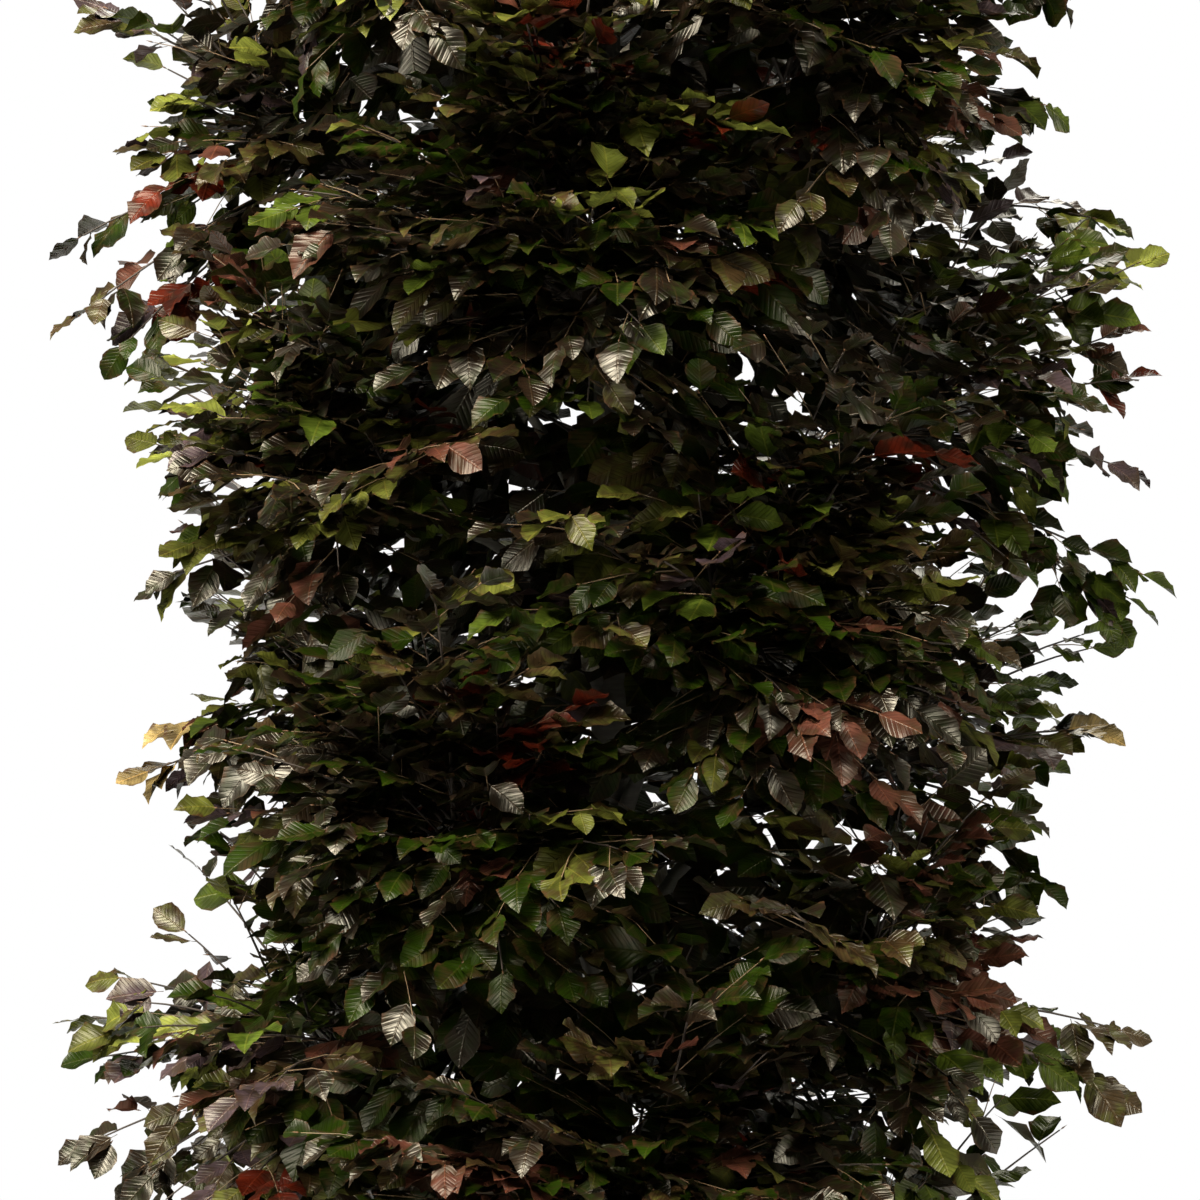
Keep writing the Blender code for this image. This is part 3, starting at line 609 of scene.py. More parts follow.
def clear_of_limbs(leaves, centres, block=2000):
    """The leaves that touch neither the trunk nor a bough, looked at a block at a time."""
    starts, ends, radii = limb_runs(centres)
    run = ends - starts
    middles = np.array([leaf.root + leaf.along * LEAF_MIDDLE for leaf in leaves])
    kept = []
    for first in range(0, len(leaves), block):
        points = middles[first : first + block, None, :]
        along = ((points - starts) * run).sum(-1) / (run * run).sum(-1)
        nearest = starts + np.clip(along, 0, 1)[..., None] * run
        gap = np.linalg.norm(points - nearest, axis=-1) - radii
        kept += [leaves[first + i] for i in np.flatnonzero(gap.min(axis=1) > LIMB_MARGIN)]
    return kept


@functools.lru_cache(maxsize=1)
def grown_crown(sizes, leaf_length):
    return Crown(sizes, leaf_length).grow()


def crown_of(scene):
    """The crown for the sizes set in the panel, grown once."""
    crown = scene.beech_crown
    counts = (crown.outer_twigs, crown.middle_twigs, crown.inner_twigs)
    sizes = Sizes(crown.seed, counts, crown.shoot_length, crown.node_gap, crown.leaf_gap)
    return grown_crown(sizes, scene.beech_leaf.length)


# ---- small helpers
def link_object(name, data):
    obj = bpy.data.objects.new(name, data)
    bpy.context.scene.collection.objects.link(obj)
    return obj


def new_mesh(name, points, edges=(), faces=()):
    mesh = bpy.data.meshes.new(name)
    mesh.from_pydata(points, edges, faces)
    return mesh


def finish_piece(obj, slot, *nodes):
    """Puts a finished piece on the tree's body and hides the parts that it stands for."""
    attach(obj, "root")
    if nodes:
        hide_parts(*nodes)


def make_plain(obj):
    """Swaps an object's evaluated result in for its mesh and drops the modifiers."""
    graph = bpy.context.evaluated_depsgraph_get()
    shown = obj.evaluated_get(graph)
    made = bpy.data.meshes.new_from_object(shown, preserve_all_data_layers=True, depsgraph=graph)
    made.name = obj.name
    obj.modifiers.clear()
    old, obj.data = obj.data, made
    bpy.data.meshes.remove(old)
    return obj


def feed(tree, socket, value):
    """Links a node's input to another node's output, or sets it to a plain value."""
    if isinstance(value, bpy.types.NodeSocket):
        tree.links.new(value, socket)
    else:
        socket.default_value = value


def add_node(tree, kind, inputs=(), **settings):
    """Adds a node to a tree and returns its outputs."""
    made = tree.nodes.new(kind)
    for key, value in settings.items():
        setattr(made, key, value)
    for key, value in dict(inputs).items():
        feed(tree, made.inputs[key], value)
    return made.outputs


def opaque(color, share=1.0):
    return (color[0] * share, color[1] * share, color[2] * share, 1.0)


# ---- materials
class Shader:
    """Short calls for building one material whose patterns lie on Object coordinates."""

    def __init__(self, name):
        self.material = bpy.data.materials.new(name)
        self.material.use_nodes = True
        self.tree = self.material.node_tree
        self.where = self.node("ShaderNodeTexCoord")["Object"]

    def node(self, kind, inputs=(), **settings):
        return add_node(self.tree, kind, inputs, **settings)

    def math(self, operation, first, second=0.0, third=0.0):
        return self.node("ShaderNodeMath", {0: first, 1: second, 2: third}, operation=operation)[0]

    def mix(self, amount, first, second):
        return self.node("ShaderNodeMix", {0: amount, 6: first, 7: second}, data_type="RGBA")[2]

    def cover(self, body, mask, strength, color):
        """A colour laid over the body's, as strong as the mask is there."""
        return self.mix(self.math("MULTIPLY", mask, strength), body, color)

    def noise(self, scale, detail=3.0, roughness=0.55, where=None):
        where = self.where if where is None else where
        inputs = {"Vector": where, "Scale": scale, "Detail": detail, "Roughness": roughness}
        return self.node("ShaderNodeTexNoise", inputs)["Fac"]

    def ramp(self, value, low, high):
        """Value stretched so that low to high becomes 0 to 1."""
        return self.node("ShaderNodeMapRange", {"Value": value, "From Min": low, "From Max": high})[0]

    def finish(self, color, roughness, relief=None, depth=0.0, strength=1.0, **more):
        """Sets the surface's colour, roughness, bump and other inputs, and returns the material."""
        inputs = {"Base Color": color, "Roughness": roughness, **more}
        if relief is not None:
            bump = {"Height": relief, "Distance": depth, "Strength": strength}
            inputs["Normal"] = self.node("ShaderNodeBump", bump)["Normal"]
        for name, value in inputs.items():
            feed(self.tree, self.tree.nodes["Principled BSDF"].inputs[name], value)
        return self.material


def leaf_material(name, color, mottle, margin, roughness, gloss):
    """A leaf: parallel veins with painted shade in their sunk grooves, a pale midrib and a brown edge on its
    UV map, mottled and shaded by place.
    """
    shader = Shader(name)
    leaf = shader.node("ShaderNodeUVMap", uv_map="UVMap")["UV"]
    split = shader.node("ShaderNodeSeparateXYZ", {"Vector": leaf})
    up_leaf = split["X"]
    off_rib = shader.math("ABSOLUTE", shader.math("SUBTRACT", split["Y"], 0.5))
    slanted = shader.math("SUBTRACT", up_leaf, shader.math("MULTIPLY", off_rib, 0.60))
    wave = shader.math("SINE", shader.math("MULTIPLY", slanted, 2 * math.pi * VEINS))
    veins = shader.ramp(wave, 0.0, 1.0)
    rib = shader.ramp(off_rib, 0.035, 0.010)
    patches = shader.ramp(shader.noise(24.0, 1.0), 0.35, 0.65)
    mottling = shader.noise(33.0, 2.0, 0.65)
    body = shader.mix(patches, opaque(color, 0.45), opaque(color, 1.50))
    body = shader.cover(body, shader.ramp(mottling, 0.47, 0.64), 0.75, opaque(mottle))
    parabola = shader.math("MULTIPLY", up_leaf, shader.math("SUBTRACT", 1.0, up_leaf))
    edge = shader.math("DIVIDE", off_rib, shader.math("SQRT", shader.math("MAXIMUM", parabola, 0.01)))
    edge = shader.math("ADD", edge, shader.math("MULTIPLY_ADD", mottling, 0.9, -0.45))
    body = shader.cover(body, shader.ramp(edge, 0.82, 1.00), 0.85, opaque(margin))
    # Painted shade: the colour darkens along the vein lines, which the bump below sinks as grooves.
    body = shader.cover(body, veins, 0.40, opaque(color, 0.45))
    warm = (color[0] * 1.9 + 0.02, color[1] * 1.6 + 0.012, color[2] * 1.3 + 0.004, 1.0)
    body = shader.cover(body, rib, 0.45, warm)
    rough = shader.math("MULTIPLY_ADD", mottling, 0.20, roughness - 0.10)
    relief = shader.math("MULTIPLY_ADD", veins, -1.0, shader.math("MULTIPLY", rib, 1.4))
    gleam = {"IOR": 1.50, "Specular IOR Level": gloss, "Specular Tint": (1.0, 0.94, 0.79, 1.0)}
    return shader.finish(body, rough, relief, 0.0005, 0.6, **gleam)


def bark_material(name, color, moss):
    """Smooth grey beech bark: faint level creases, darker freckles and a green bloom."""
    shader = Shader(name)
    flat = shader.node("ShaderNodeMapping", {"Vector": shader.where, "Scale": (1.0, 1.0, 6.0)})["Vector"]
    creases = shader.noise(22.0, 5.0, 0.62, flat)
    freckles = shader.noise(210.0)
    bloom = shader.noise(7.0, 4.0)
    body = shader.mix(shader.ramp(creases, 0.30, 0.70), opaque(color, 0.62), opaque(color, 1.22))
    body = shader.cover(body, shader.ramp(freckles, 0.60, 0.72), 0.45, opaque(color, 0.45))
    body = shader.cover(body, shader.ramp(bloom, 0.48, 0.68), 0.42, opaque(moss))
    rough = shader.math("MULTIPLY_ADD", creases, 0.25, 0.62)
    return shader.finish(body, rough, shader.math("MULTIPLY_ADD", freckles, 0.35, creases), 0.0012, 0.7)


def twig_material(name, color, roughness):
    """Thin bark with pale pores, drifting in colour along the twig."""
    shader = Shader(name)
    pores = shader.noise(420.0, 2.0)
    drift = shader.ramp(shader.noise(14.0), 0.30, 0.70)
    body = shader.mix(drift, opaque(color, 0.60), opaque(color, 1.35))
    body = shader.cover(body, shader.ramp(pores, 0.60, 0.70), 0.5, opaque(color, 2.0))
    return shader.finish(body, shader.math("MULTIPLY_ADD", pores, 0.2, roughness), pores, 0.0003, 0.5)


def floor_material(name, color):
    shader = Shader(name)
    return shader.finish(shader.mix(shader.noise(3.0, 4.0), opaque(color, 0.97), opaque(color)), 0.9)


# ---- geometry nodes
class Nodes:
    """Short calls for building one geometry node group with named inputs."""

    def __init__(self, name, **inputs):
        self.tree = bpy.data.node_groups.new(name, "GeometryNodeTree")
        self.add_socket("Geometry", "OUTPUT", "Geometry")
        self.add_socket("Geometry", "INPUT", "Geometry")
        for label, (kind, default) in inputs.items():
            socket = self.add_socket(label, "INPUT", kind)
            if default is not None:
                socket.default_value = default
        self.given = self.node("NodeGroupInput")

    def add_socket(self, name, in_out, kind):
        return self.tree.interface.new_socket(name, in_out=in_out, socket_type=f"NodeSocket{kind}")

    def node(self, kind, inputs=(), **settings):
        return add_node(self.tree, kind, inputs, **settings)

    def attribute(self, name, kind):
        return self.node("GeometryNodeInputNamedAttribute", {"Name": name}, data_type=kind)["Attribute"]

    def scaled(self, name, share):
        """A number that each point carries, times the group's input of that name."""
        inputs = {0: self.attribute(name, "FLOAT"), 1: self.given[share]}
        return self.node("ShaderNodeMath", inputs, operation="MULTIPLY")[0]

    def close(self, geometry):
        """Realizes and smooths the geometry, coats it and ends the group."""
        coat = {"Material": self.given["Surface"]}
        for step, inputs in (("RealizeInstances", {}), ("SetShadeSmooth", {}), ("SetMaterial", coat)):
            geometry = self.node(f"GeometryNode{step}", {"Geometry": geometry, **inputs})["Geometry"]
        self.node("NodeGroupOutput", {"Geometry": geometry})
        return self.tree


def add_nodes(obj, tree, **values):
    """Gives an object a node group as a modifier, with its inputs set by their sockets' identifiers."""
    modifier = obj.modifiers.new(tree.name, "NODES")
    modifier.node_group = tree
    for item in tree.interface.items_tree:
        if item.in_out == "INPUT" and item.name.lower() in values:
            modifier[item.identifier] = values[item.name.lower()]


def tube_nodes():
    """Turns lines with a thickness on each point into tubes with closed ends."""
    group = Nodes("beech_twig_tubes", Sides=("Int", 4), Thickness=("Float", 1.0), Surface=("Material", None))
    curve = group.node("GeometryNodeMeshToCurve", {"Mesh": group.given["Geometry"]})["Curve"]
    inputs = {"Resolution": group.given["Sides"], "Radius": 1.0}
    ring = group.node("GeometryNodeCurvePrimitiveCircle", inputs)["Curve"]
    thick = group.scaled("thickness", "Thickness")
    inputs = {"Curve": curve, "Profile Curve": ring, "Scale": thick, "Fill Caps": True}
    return group.close(group.node("GeometryNodeCurveToMesh", inputs)["Mesh"])


def spray_nodes():
    """Sets one of several shapes on each point, turned and sized by the point's own attributes."""
    inputs = {"Shapes": ("Collection", None), "Size": ("Float", 1.0), "Surface": ("Material", None)}
    group = Nodes("beech_sprays", **inputs)
    inputs = {"Collection": group.given["Shapes"], "Separate Children": True, "Reset Children": True}
    shapes = group.node("GeometryNodeCollectionInfo", inputs)["Instances"]
    axes = {
        "Primary Axis": group.attribute("along", "FLOAT_VECTOR"),
        "Secondary Axis": group.attribute("facing", "FLOAT_VECTOR"),
    }
    turn = group.node("FunctionNodeAxesToRotation", axes, primary_axis="X", secondary_axis="Z")["Rotation"]
    inputs = {
        "Points": group.given["Geometry"],
        "Instance": shapes,
        "Pick Instance": True,
        "Instance Index": group.attribute("shape", "INT"),
        "Rotation": turn,
        "Scale": group.scaled("size", "Size"),
    }
    return group.close(group.node("GeometryNodeInstanceOnPoints", inputs)["Instances"])


def lines_mesh(name, twigs):
    """A mesh of loose lines, one for each twig, with its thickness on every point."""
    points, edges, thick = [], [], []
    for twig in twigs:
        first = len(points)
        last = len(twig.path) - 1
        points += twig.path
        edges += [(first + i, first + i + 1) for i in range(last)]
        taper = twig.end_radius - twig.start_radius
        thick += [twig.start_radius + taper * i / last for i in range(last + 1)]
    mesh = new_mesh(name, points, edges)
    mesh.attributes.new("thickness", "FLOAT", "POINT").data.foreach_set("value", thick)
    return mesh


def points_mesh(name, points):
    """A mesh of loose points from rows of place, along, facing, size and shape, which spray_nodes reads."""
    places, *columns = zip(*points)
    mesh = new_mesh(name, places)
    kinds = {"along": "FLOAT_VECTOR", "facing": "FLOAT_VECTOR", "size": "FLOAT", "shape": "INT"}
    for (label, kind), values in zip(kinds.items(), columns):
        flat = np.array(values, np.int32 if kind == "INT" else np.float32).ravel()
        key = "vector" if kind == "FLOAT_VECTOR" else "value"
        mesh.attributes.new(label, kind, "POINT").data.foreach_set(key, flat)
    return mesh


# ---- leaf and bud shapes
LeafStyle = namedtuple("LeafStyle", "rows fold droop twist curl waves phases ripple point")
FINE_ROWS, PLAIN_ROWS = 11, 4
BUD_LENGTH = 0.013
VEIN_SLANT = 0.55  # how far a vein runs forward on its way to the edge, as a share of the half width
CRIMP = 0.030  # how far the edge swings in and out between veins, as a share of the half width
FINE_STYLES, PLAIN_STYLES = 10, 4


def leaf_styles(seed):
    """Leaves that differ in fold, droop, twist and the waves of their edges, the fine ones first."""
    rng = random.Random(seed)
    styles = []
    for index in range(FINE_STYLES + PLAIN_STYLES):
        fold, droop, twist = rng.uniform(0.00, 0.36), rng.uniform(-0.04, 0.38), rng.uniform(-0.22, 0.22)
        curl, waves, ripple = rng.uniform(-0.10, 0.50), rng.uniform(2.0, 3.4), rng.uniform(0.014, 0.055)
        phases, point = (rng.random(), rng.random()), rng.uniform(0.10, 0.50)
        rows = FINE_ROWS if index < FINE_STYLES else PLAIN_ROWS
        styles.append(LeafStyle(rows, fold, droop, twist, curl, waves, phases, ripple, point))
    return styles


def leaf_half_width(t, width, point):
    """Half the blade's width at share t of its length, rounded at the base and pointed at the tip."""
    return 0.5 * width * math.sin(math.pi * t**1.05) ** (0.60 + point * t * t)


def leaf_mesh(name, style, length, width, pleat):
    """A beech leaf along +X, facing +Z, its stalk's foot at the origin: two halves that rise from the
    midrib, pleated along the veins, with a wavy edge."""
    rows = [(i + 0.6) / (style.rows + 0.5) for i in range(style.rows)]
    mid, left, right = [], [], []
    for i, t in enumerate(rows):
        slant = VEIN_SLANT * leaf_half_width(t, width, style.point) * (1 - t**4)
        half = leaf_half_width(t + slant / length, width, style.point)
        full = half / (0.5 * width)
        fall = -style.droop * length * t * t
        twist = style.twist * (t - 0.3)
        mid.append((STALK + t * length, 0, fall))
        for rim, side, phase in ((left, 1, style.phases[0]), (right, -1, style.phases[1])):
            wave = math.sin(2 * math.pi * (style.waves * t + phase))
            rise = style.fold * half + side * half * twist - style.curl * half * full * full
            rise += full * (style.ripple * length * wave + pleat * (1 if i % 2 else -1))
            crimp = CRIMP * (1 if i % 2 else -1) if style.rows > PLAIN_ROWS else 0
            rim.append((STALK + t * length + slant, side * half * (1 + 0.05 * wave + crimp), fall + rise))
    base, tip = (STALK, 0, 0), (STALK + length, 0, -style.droop * length * 1.08)
    points = [base, tip, *mid, *left, *right]
    count = len(rows)
    m, l, r, k = 2, 2 + count, 2 + 2 * count, 2 + 3 * count  # first of each row of points
    faces = [(0, r, m), (0, m, l), (m + count - 1, r + count - 1, 1), (l + count - 1, m + count - 1, 1)]
    for i in range(count - 1):
        faces.append((m + i, r + i, r + i + 1, m + i + 1))
        faces.append((l + i, m + i, m + i + 1, l + i + 1))
    if style.rows > PLAIN_ROWS:  # a thin stalk
        points += [(0, 0.0006, 0), (0, -0.0006, 0), (0, 0, -0.0008)]
        points += [(STALK, 0.0005, 0), (STALK, -0.0005, 0), (STALK + 0.001, 0, -0.0007)]
        faces += [(k, k + 3, k + 5, k + 2), (k + 1, k + 2, k + 5, k + 4)]
    mesh = new_mesh(name, points, faces=faces)
    layer = mesh.uv_layers.new(name="UVMap")
    for loop in mesh.loops:
        x, y, _ = mesh.vertices[loop.vertex_index].co
        layer.data[loop.index].uv = ((x - STALK) / length, 0.5 + y / width)
    return mesh


def bud_mesh(name, length):
    """A slender spindle of a bud along +X."""
    points = [(0, 0, 0), (length, 0, 0)]
    thick = 0.10 * length
    points += [(0.4 * length, thick * math.cos(a), thick * math.sin(a)) for a in (0, 2.1, 4.2)]
    faces = [(0, 2 + (i + 1) % 3, 2 + i) for i in range(3)] + [(1, 2 + i, 2 + (i + 1) % 3) for i in range(3)]
    return new_mesh(name, points, faces=faces)


def shapes_collection(name, meshes):
    """A collection of shapes for a node group to pick from, in the order of their names."""
    shapes = bpy.data.collections.new(name)
    bpy.context.scene.collection.children.link(shapes)
    for mesh in meshes:
        shapes.objects.link(bpy.data.objects.new(mesh.name, mesh))
    return shapes


def remove_collection(shapes):
    for obj in list(shapes.objects):
        bpy.data.meshes.remove(obj.data)
    bpy.data.collections.remove(shapes)


# ---- bark with relief
RING_GAP, FOOT_RINGS, CROWN_RINGS = 0.005, 100, 150  # rings round the trunk
TRUNK_SIDES, BOUGH_SIDES, BOUGH_STEPS = 44, 12, 26
BOUGH_RELIEF = 0.6  # relief of a bough's bark, as a share of the trunk's
LUMP_SCALE, LUMP_SHARE = 9.0, 1.4
CREASE_ROUND, CREASE_UP = 24, 110  # creases are level, far longer than high
CREASE_SHARE, CREASE_START = 0.8, 0.12


def bark_relief(point, depth):
    """Height of the bark's relief: low lumps and short level creases."""
    lumps = noise.noise(point * LUMP_SCALE)
    creases = noise.noise(Vector((point.x * CREASE_ROUND, point.y * CREASE_ROUND, point.z * CREASE_UP)))
    return depth * (LUMP_SHARE * lumps + CREASE_SHARE * max(0.0, creases - CREASE_START))


def bark_tube(path, radius_of, sides, relief):
    """Points and faces of a limb along a path, closed at both ends, with radius_of(step, turn)."""
    points, faces = [], []
    last = len(path) - 1
    across = Vector((1, 0, 0))
    for i, centre in enumerate(path):
        heading = (path[min(i + 1, last)] - path[max(i - 1, 0)]).normalized()
        across = (across - heading * across.dot(heading)).normalized()
        square = heading.cross(across)
        for j in range(sides):
            turn = 2 * math.pi * j / sides
            out = across * math.cos(turn) + square * math.sin(turn)
            skin = centre + out * radius_of(i, turn)
            points.append(skin + out * bark_relief(skin, relief))
    for i in range(last):
        for j in range(sides):
            k = (j + 1) % sides
            faces.append((i * sides + j, i * sides + k, (i + 1) * sides + k, (i + 1) * sides + j))
    points += [path[0], path[-1]]
    foot, top = len(points) - 2, len(points) - 1
    for j in range(sides):
        k = (j + 1) % sides
        faces.append((foot, k, j))
        faces.append((top, last * sides + j, last * sides + k))
    return points, faces


def trunk_tube(relief):
    """The trunk's rings are close together where the foot shows, and wider apart inside the crown."""
    heights = [i * RING_GAP for i in range(FOOT_RINGS + 1)]
    foot = heights[-1]
    heights += [foot + (TRUNK_TOP - foot) * i / CROWN_RINGS for i in range(1, CROWN_RINGS + 1)]
    path = [trunk_centre(height) for height in heights]
    return bark_tube(path, lambda step, turn: flared_radius(heights[step], turn), TRUNK_SIDES, relief)


def bough_tube(centre, relief):
    path = bough_path(centre, BOUGH_STEPS)
    return bark_tube(path, lambda step, _: bough_radius(path[0].z, step / BOUGH_STEPS), BOUGH_SIDES, relief)


def bark_mesh(name, tubes, coat):
    """One smooth mesh made of several tubes."""
    points, faces = [], []
    for own, rings in tubes:
        first = len(points)
        points += own
        faces += [[first + i for i in face] for face in rings]
    mesh = new_mesh(name, points, faces=faces)
    mesh.shade_smooth()
    mesh.materials.append(coat)
    return mesh


# ---- sizes and colours that can be changed
def colour_setting(name, description, *default):
    return FloatVectorProperty(name=name, description=description, default=default, subtype="COLOR")


def length_setting(name, description, default):
    return FloatProperty(name=name, description=description, default=default, unit="LENGTH")


def power_setting(name, description, default):
    return FloatProperty(name=name, description=description, default=default, unit="POWER")


def count_setting(name, description, default):
    return IntProperty(name=name, description=description, default=default)


class BeechCrownSettings(bpy.types.PropertyGroup):
    """How densely the crown is grown."""

    seed: count_setting("Seed", "Starts the rule that spreads the growth", 1107)
    outer_twigs: count_setting("Outer twigs", "Twigs that end at the crown's surface", 670)
    middle_twigs: count_setting("Middle twigs", "Twigs that end under the surface", 265)
    inner_twigs: count_setting("Inner twigs", "Twigs that end near the boughs' tips", 180)
    shoot_length: length_setting("Side shoot", "Length of a twig's longest side shoots", 0.20)
    node_gap: length_setting("Node gap", "Distance between a twig's side shoots", 0.045)
    leaf_gap: length_setting("Leaf gap", "Distance between leaves along a shoot", 0.029)


class BeechLeafSettings(bpy.types.PropertyGroup):
    """The leaf's size and the crown's tints."""

    length: length_setting("Length", "Length of a full-grown blade", 0.069)
    width: length_setting("Width", "Width of a full-grown blade", 0.049)
    pleat: length_setting("Pleats", "Depth of the pleats at the edge", 0.0004)
    roughness: FloatProperty(name="Roughness", description="Of a leaf", default=0.31, subtype="FACTOR")
    purple: colour_setting("Purple", "The crown's main dark tint", 0.0115, 0.0064, 0.0033)
    bronze: colour_setting("Bronze", "Brown leaves", 0.032, 0.0185, 0.0068)
    green: colour_setting("Green", "Dark green leaves", 0.0098, 0.0200, 0.0009)
    # The lighter greens from here to lime are partly the leaves' own tint and partly painted back-light, as
    # they grow mostly at the outline.
    fresh: colour_setting("Fresh green", "Lighter green leaves at the sides", 0.050, 0.072, 0.008)
    olive: colour_setting("Olive", "Olive leaves at the outline", 0.074, 0.080, 0.013)
    lime: colour_setting("Lime", "Young yellow-green leaves", 0.17, 0.190, 0.032)
    copper: colour_setting("Copper", "Coppery brown leaves", 0.074, 0.025, 0.016)
    # Partly the leaves' own pale purple, partly a painted grey-pink sheen.
    mauve: colour_setting("Mauve", "Pale purple leaves at the outline", 0.054, 0.035, 0.041)
    ochre: colour_setting("Ochre", "A few dry yellow-brown leaves", 0.260, 0.185, 0.070)
    red: colour_setting("Red", "A few blood-red leaves", 0.070, 0.008, 0.003)
    margin: colour_setting("Edges", "Brown edge of the leaves", 0.050, 0.020, 0.009)


class BeechBarkSettings(bpy.types.PropertyGroup):
    """Bark of the trunk, the boughs and the twigs."""

    relief: length_setting("Relief", "Depth of the bark's relief", 0.0010)
    bark: colour_setting("Bark", "Grey of the smooth bark", 0.150, 0.138, 0.118)
    moss: colour_setting("Bloom", "Green bloom on the bark", 0.070, 0.085, 0.035)
    twig: colour_setting("Twigs", "Older twigs", 0.060, 0.045, 0.036)
    shoot: colour_setting("Shoots", "This year's shoots", 0.200, 0.130, 0.070)
    bud: colour_setting("Buds", "Slender buds", 0.150, 0.075, 0.035)


class BeechStageSettings(bpy.types.PropertyGroup):
    """Camera, lights and floor."""

    distance: length_setting("Distance", "Camera to trunk", 7.0)
    view_height: length_setting("View height", "Height of the camera", 1.60)
    view_span: length_setting("View span", "Height of crown in view", 1.68)
    floor_radius: length_setting("Floor", "Radius of the round floor", 6.0)
    floor: colour_setting("Floor colour", "Colour of the floor", 0.70, 0.73, 0.80)
    sky: FloatProperty(name="Sky", description="Brightness of the light from overhead", default=0.33)
    key: power_setting("Key", "Power of the main light", 1040.0)
    rim: power_setting("Rims", "Power of each light at the sides", 420.0)
    back: power_setting("Back", "Power of the light behind", 150.0)


# ---- stage
FLOOR_SIDES = 96
SKY_FOOT, SKY_TOP = 0.05, 0.75  # heights between which the sky's light grows
SKY_LEAST = 0.19  # its share under them
SKY_COLOUR = (1.0, 0.95, 0.70, 1)
# Soft round lights: place, size, the setting that holds their power, their share of it, colour
LIGHTS = (
    ("key", (-1.7, -3.1, 7.0), 3.6, "key", 1.0, (1.0, 0.94, 0.82)),
    ("rim_left", (-5.4, -1.0, 4.4), 2.8, "rim", 1.0, (1.0, 0.96, 0.83)),
    ("rim_right", (5.4, -1.0, 4.4), 2.8, "rim", 0.6, (1.0, 0.95, 0.82)),
    ("back", (0.8, 5.0, 5.6), 3.0, "back", 1.0, (1.0, 0.95, 0.84)),
)


# ---- operators
class BEECH_OT_trunk(bpy.types.Operator):
    """Dresses the trunk in bark with relief, from its flat cut to the leader"""

    bl_idname = "beech.trunk"
    bl_label = "Trunk"

    def execute(self, context):
        bark = context.scene.beech_bark
        coat = bark_material("beech_bark", bark.bark, bark.moss)
        mesh = bark_mesh("trunk_bark", [trunk_tube(bark.relief)], coat)
        for vertex in mesh.vertices:
            vertex.co.z = max(vertex.co.z, 0.0)
        finish_piece(link_object("trunk_bark", mesh), "bark", "trunk")
        return {"FINISHED"}


class BEECH_OT_boughs(bpy.types.Operator):
    """Dresses the boughs in bark with relief, from their collars to their tips"""

    bl_idname = "beech.boughs"
    bl_label = "Boughs"

    def execute(self, context):
        relief = context.scene.beech_bark.relief * BOUGH_RELIEF
        tubes = [bough_tube(centre, relief) for centre in mass_centres()[:MASS_COUNT]]
        mesh = bark_mesh("boughs_bark", tubes, bpy.data.materials["beech_bark"])
        finish_piece(link_object("boughs_bark", mesh), "bark", *BOUGH_NODES)
        return {"FINISHED"}


class BEECH_OT_twigs(bpy.types.Operator):
    """Grows stems, twigs and side shoots on from the boughs"""

    bl_idname = "beech.twigs"
    bl_label = "Twigs"

    def execute(self, context):
        bark = context.scene.beech_bark
        crown = crown_of(context.scene)
        tubes = tube_nodes()
        dark = twig_material("beech_twig", bark.twig, 0.60)
        pale = twig_material("beech_shoot", bark.shoot, 0.45)
        for name, twigs, sides, coat in (
            ("stems", crown.stems, 8, dark),
            ("twigs", crown.twigs, 5, dark),
            ("side_shoots", crown.shoots, 3, pale),
        ):
            obj = link_object(name, lines_mesh(name, twigs))
            add_nodes(obj, tubes, sides=sides, surface=coat)
            finish_piece(make_plain(obj), "bark")
        return {"FINISHED"}


class BEECH_OT_buds(bpy.types.Operator):
    """Sets a slender bud at the tip of each shoot"""

    bl_idname = "beech.buds"
    bl_label = "Buds"

    def execute(self, context):
        shapes = shapes_collection("beech_bud_shapes", [bud_mesh("bud_0", BUD_LENGTH)])
        points = [(place, heading, UP, 1.0, 0) for place, heading in crown_of(context.scene).buds]
        obj = link_object("buds", points_mesh("buds", points))
        coat = twig_material("beech_bud", context.scene.beech_bark.bud, 0.40)
        add_nodes(obj, spray_nodes(), shapes=shapes, surface=coat)
        finish_piece(make_plain(obj), "bark")
        remove_collection(shapes)
        return {"FINISHED"}


class BEECH_OT_leaves(bpy.types.Operator):
    """Hangs the leaves on their shoots, one joined piece for each tint and stretch of the crown"""

    bl_idname = "beech.leaves"
    bl_label = "Leaves"

    def execute(self, context):
        leaf, seed = context.scene.beech_leaf, context.scene.beech_crown.seed
        meshes = [
            leaf_mesh(f"leaf_shape_{i:02d}", style, leaf.length, leaf.width, leaf.pleat)
            for i, style in enumerate(leaf_styles(seed))
        ]
        triangles = [sum(len(face.vertices) - 2 for face in mesh.polygons) for mesh in meshes]
        shapes = shapes_collection("beech_leaf_shapes", meshes)
        sprays = spray_nodes()
        rng = random.Random(seed)
        held = {tint: [] for tint in TINTS}
        for grown in crown_of(context.scene).leaves:
            pick = rng.random()
            shape = int(pick * FINE_STYLES) if grown.fine else FINE_STYLES + int(pick * PLAIN_STYLES)
            held[grown.tint].append((grown.root, grown.along, grown.facing, grown.size, shape))
        waiting = list(FOLIAGE_NODES)
        for tint, points in held.items():
            colors = (getattr(leaf, tint), getattr(leaf, TINTS[tint].mottle), leaf.margin)
            coat = leaf_material(f"beech_leaf_{tint}", *colors, leaf.roughness, TINTS[tint].gloss)
            points.sort(key=lambda point: point[0].z)
            pieces = max(1, math.ceil(sum(triangles[shape] for *_, shape in points) / PIECE_TRIANGLES))
            for part in range(pieces):
                own = points[len(points) * part // pieces : len(points) * (part + 1) // pieces]
                name = f"leaves_{tint}" if pieces == 1 else f"leaves_{tint}_{part + 1}"
                obj = link_object(name, points_mesh(name, own))
                add_nodes(obj, sprays, shapes=shapes, surface=coat)
                finish_piece(make_plain(obj), "copper_leaves", *waiting)
                waiting = []
        remove_collection(shapes)
        return {"FINISHED"}


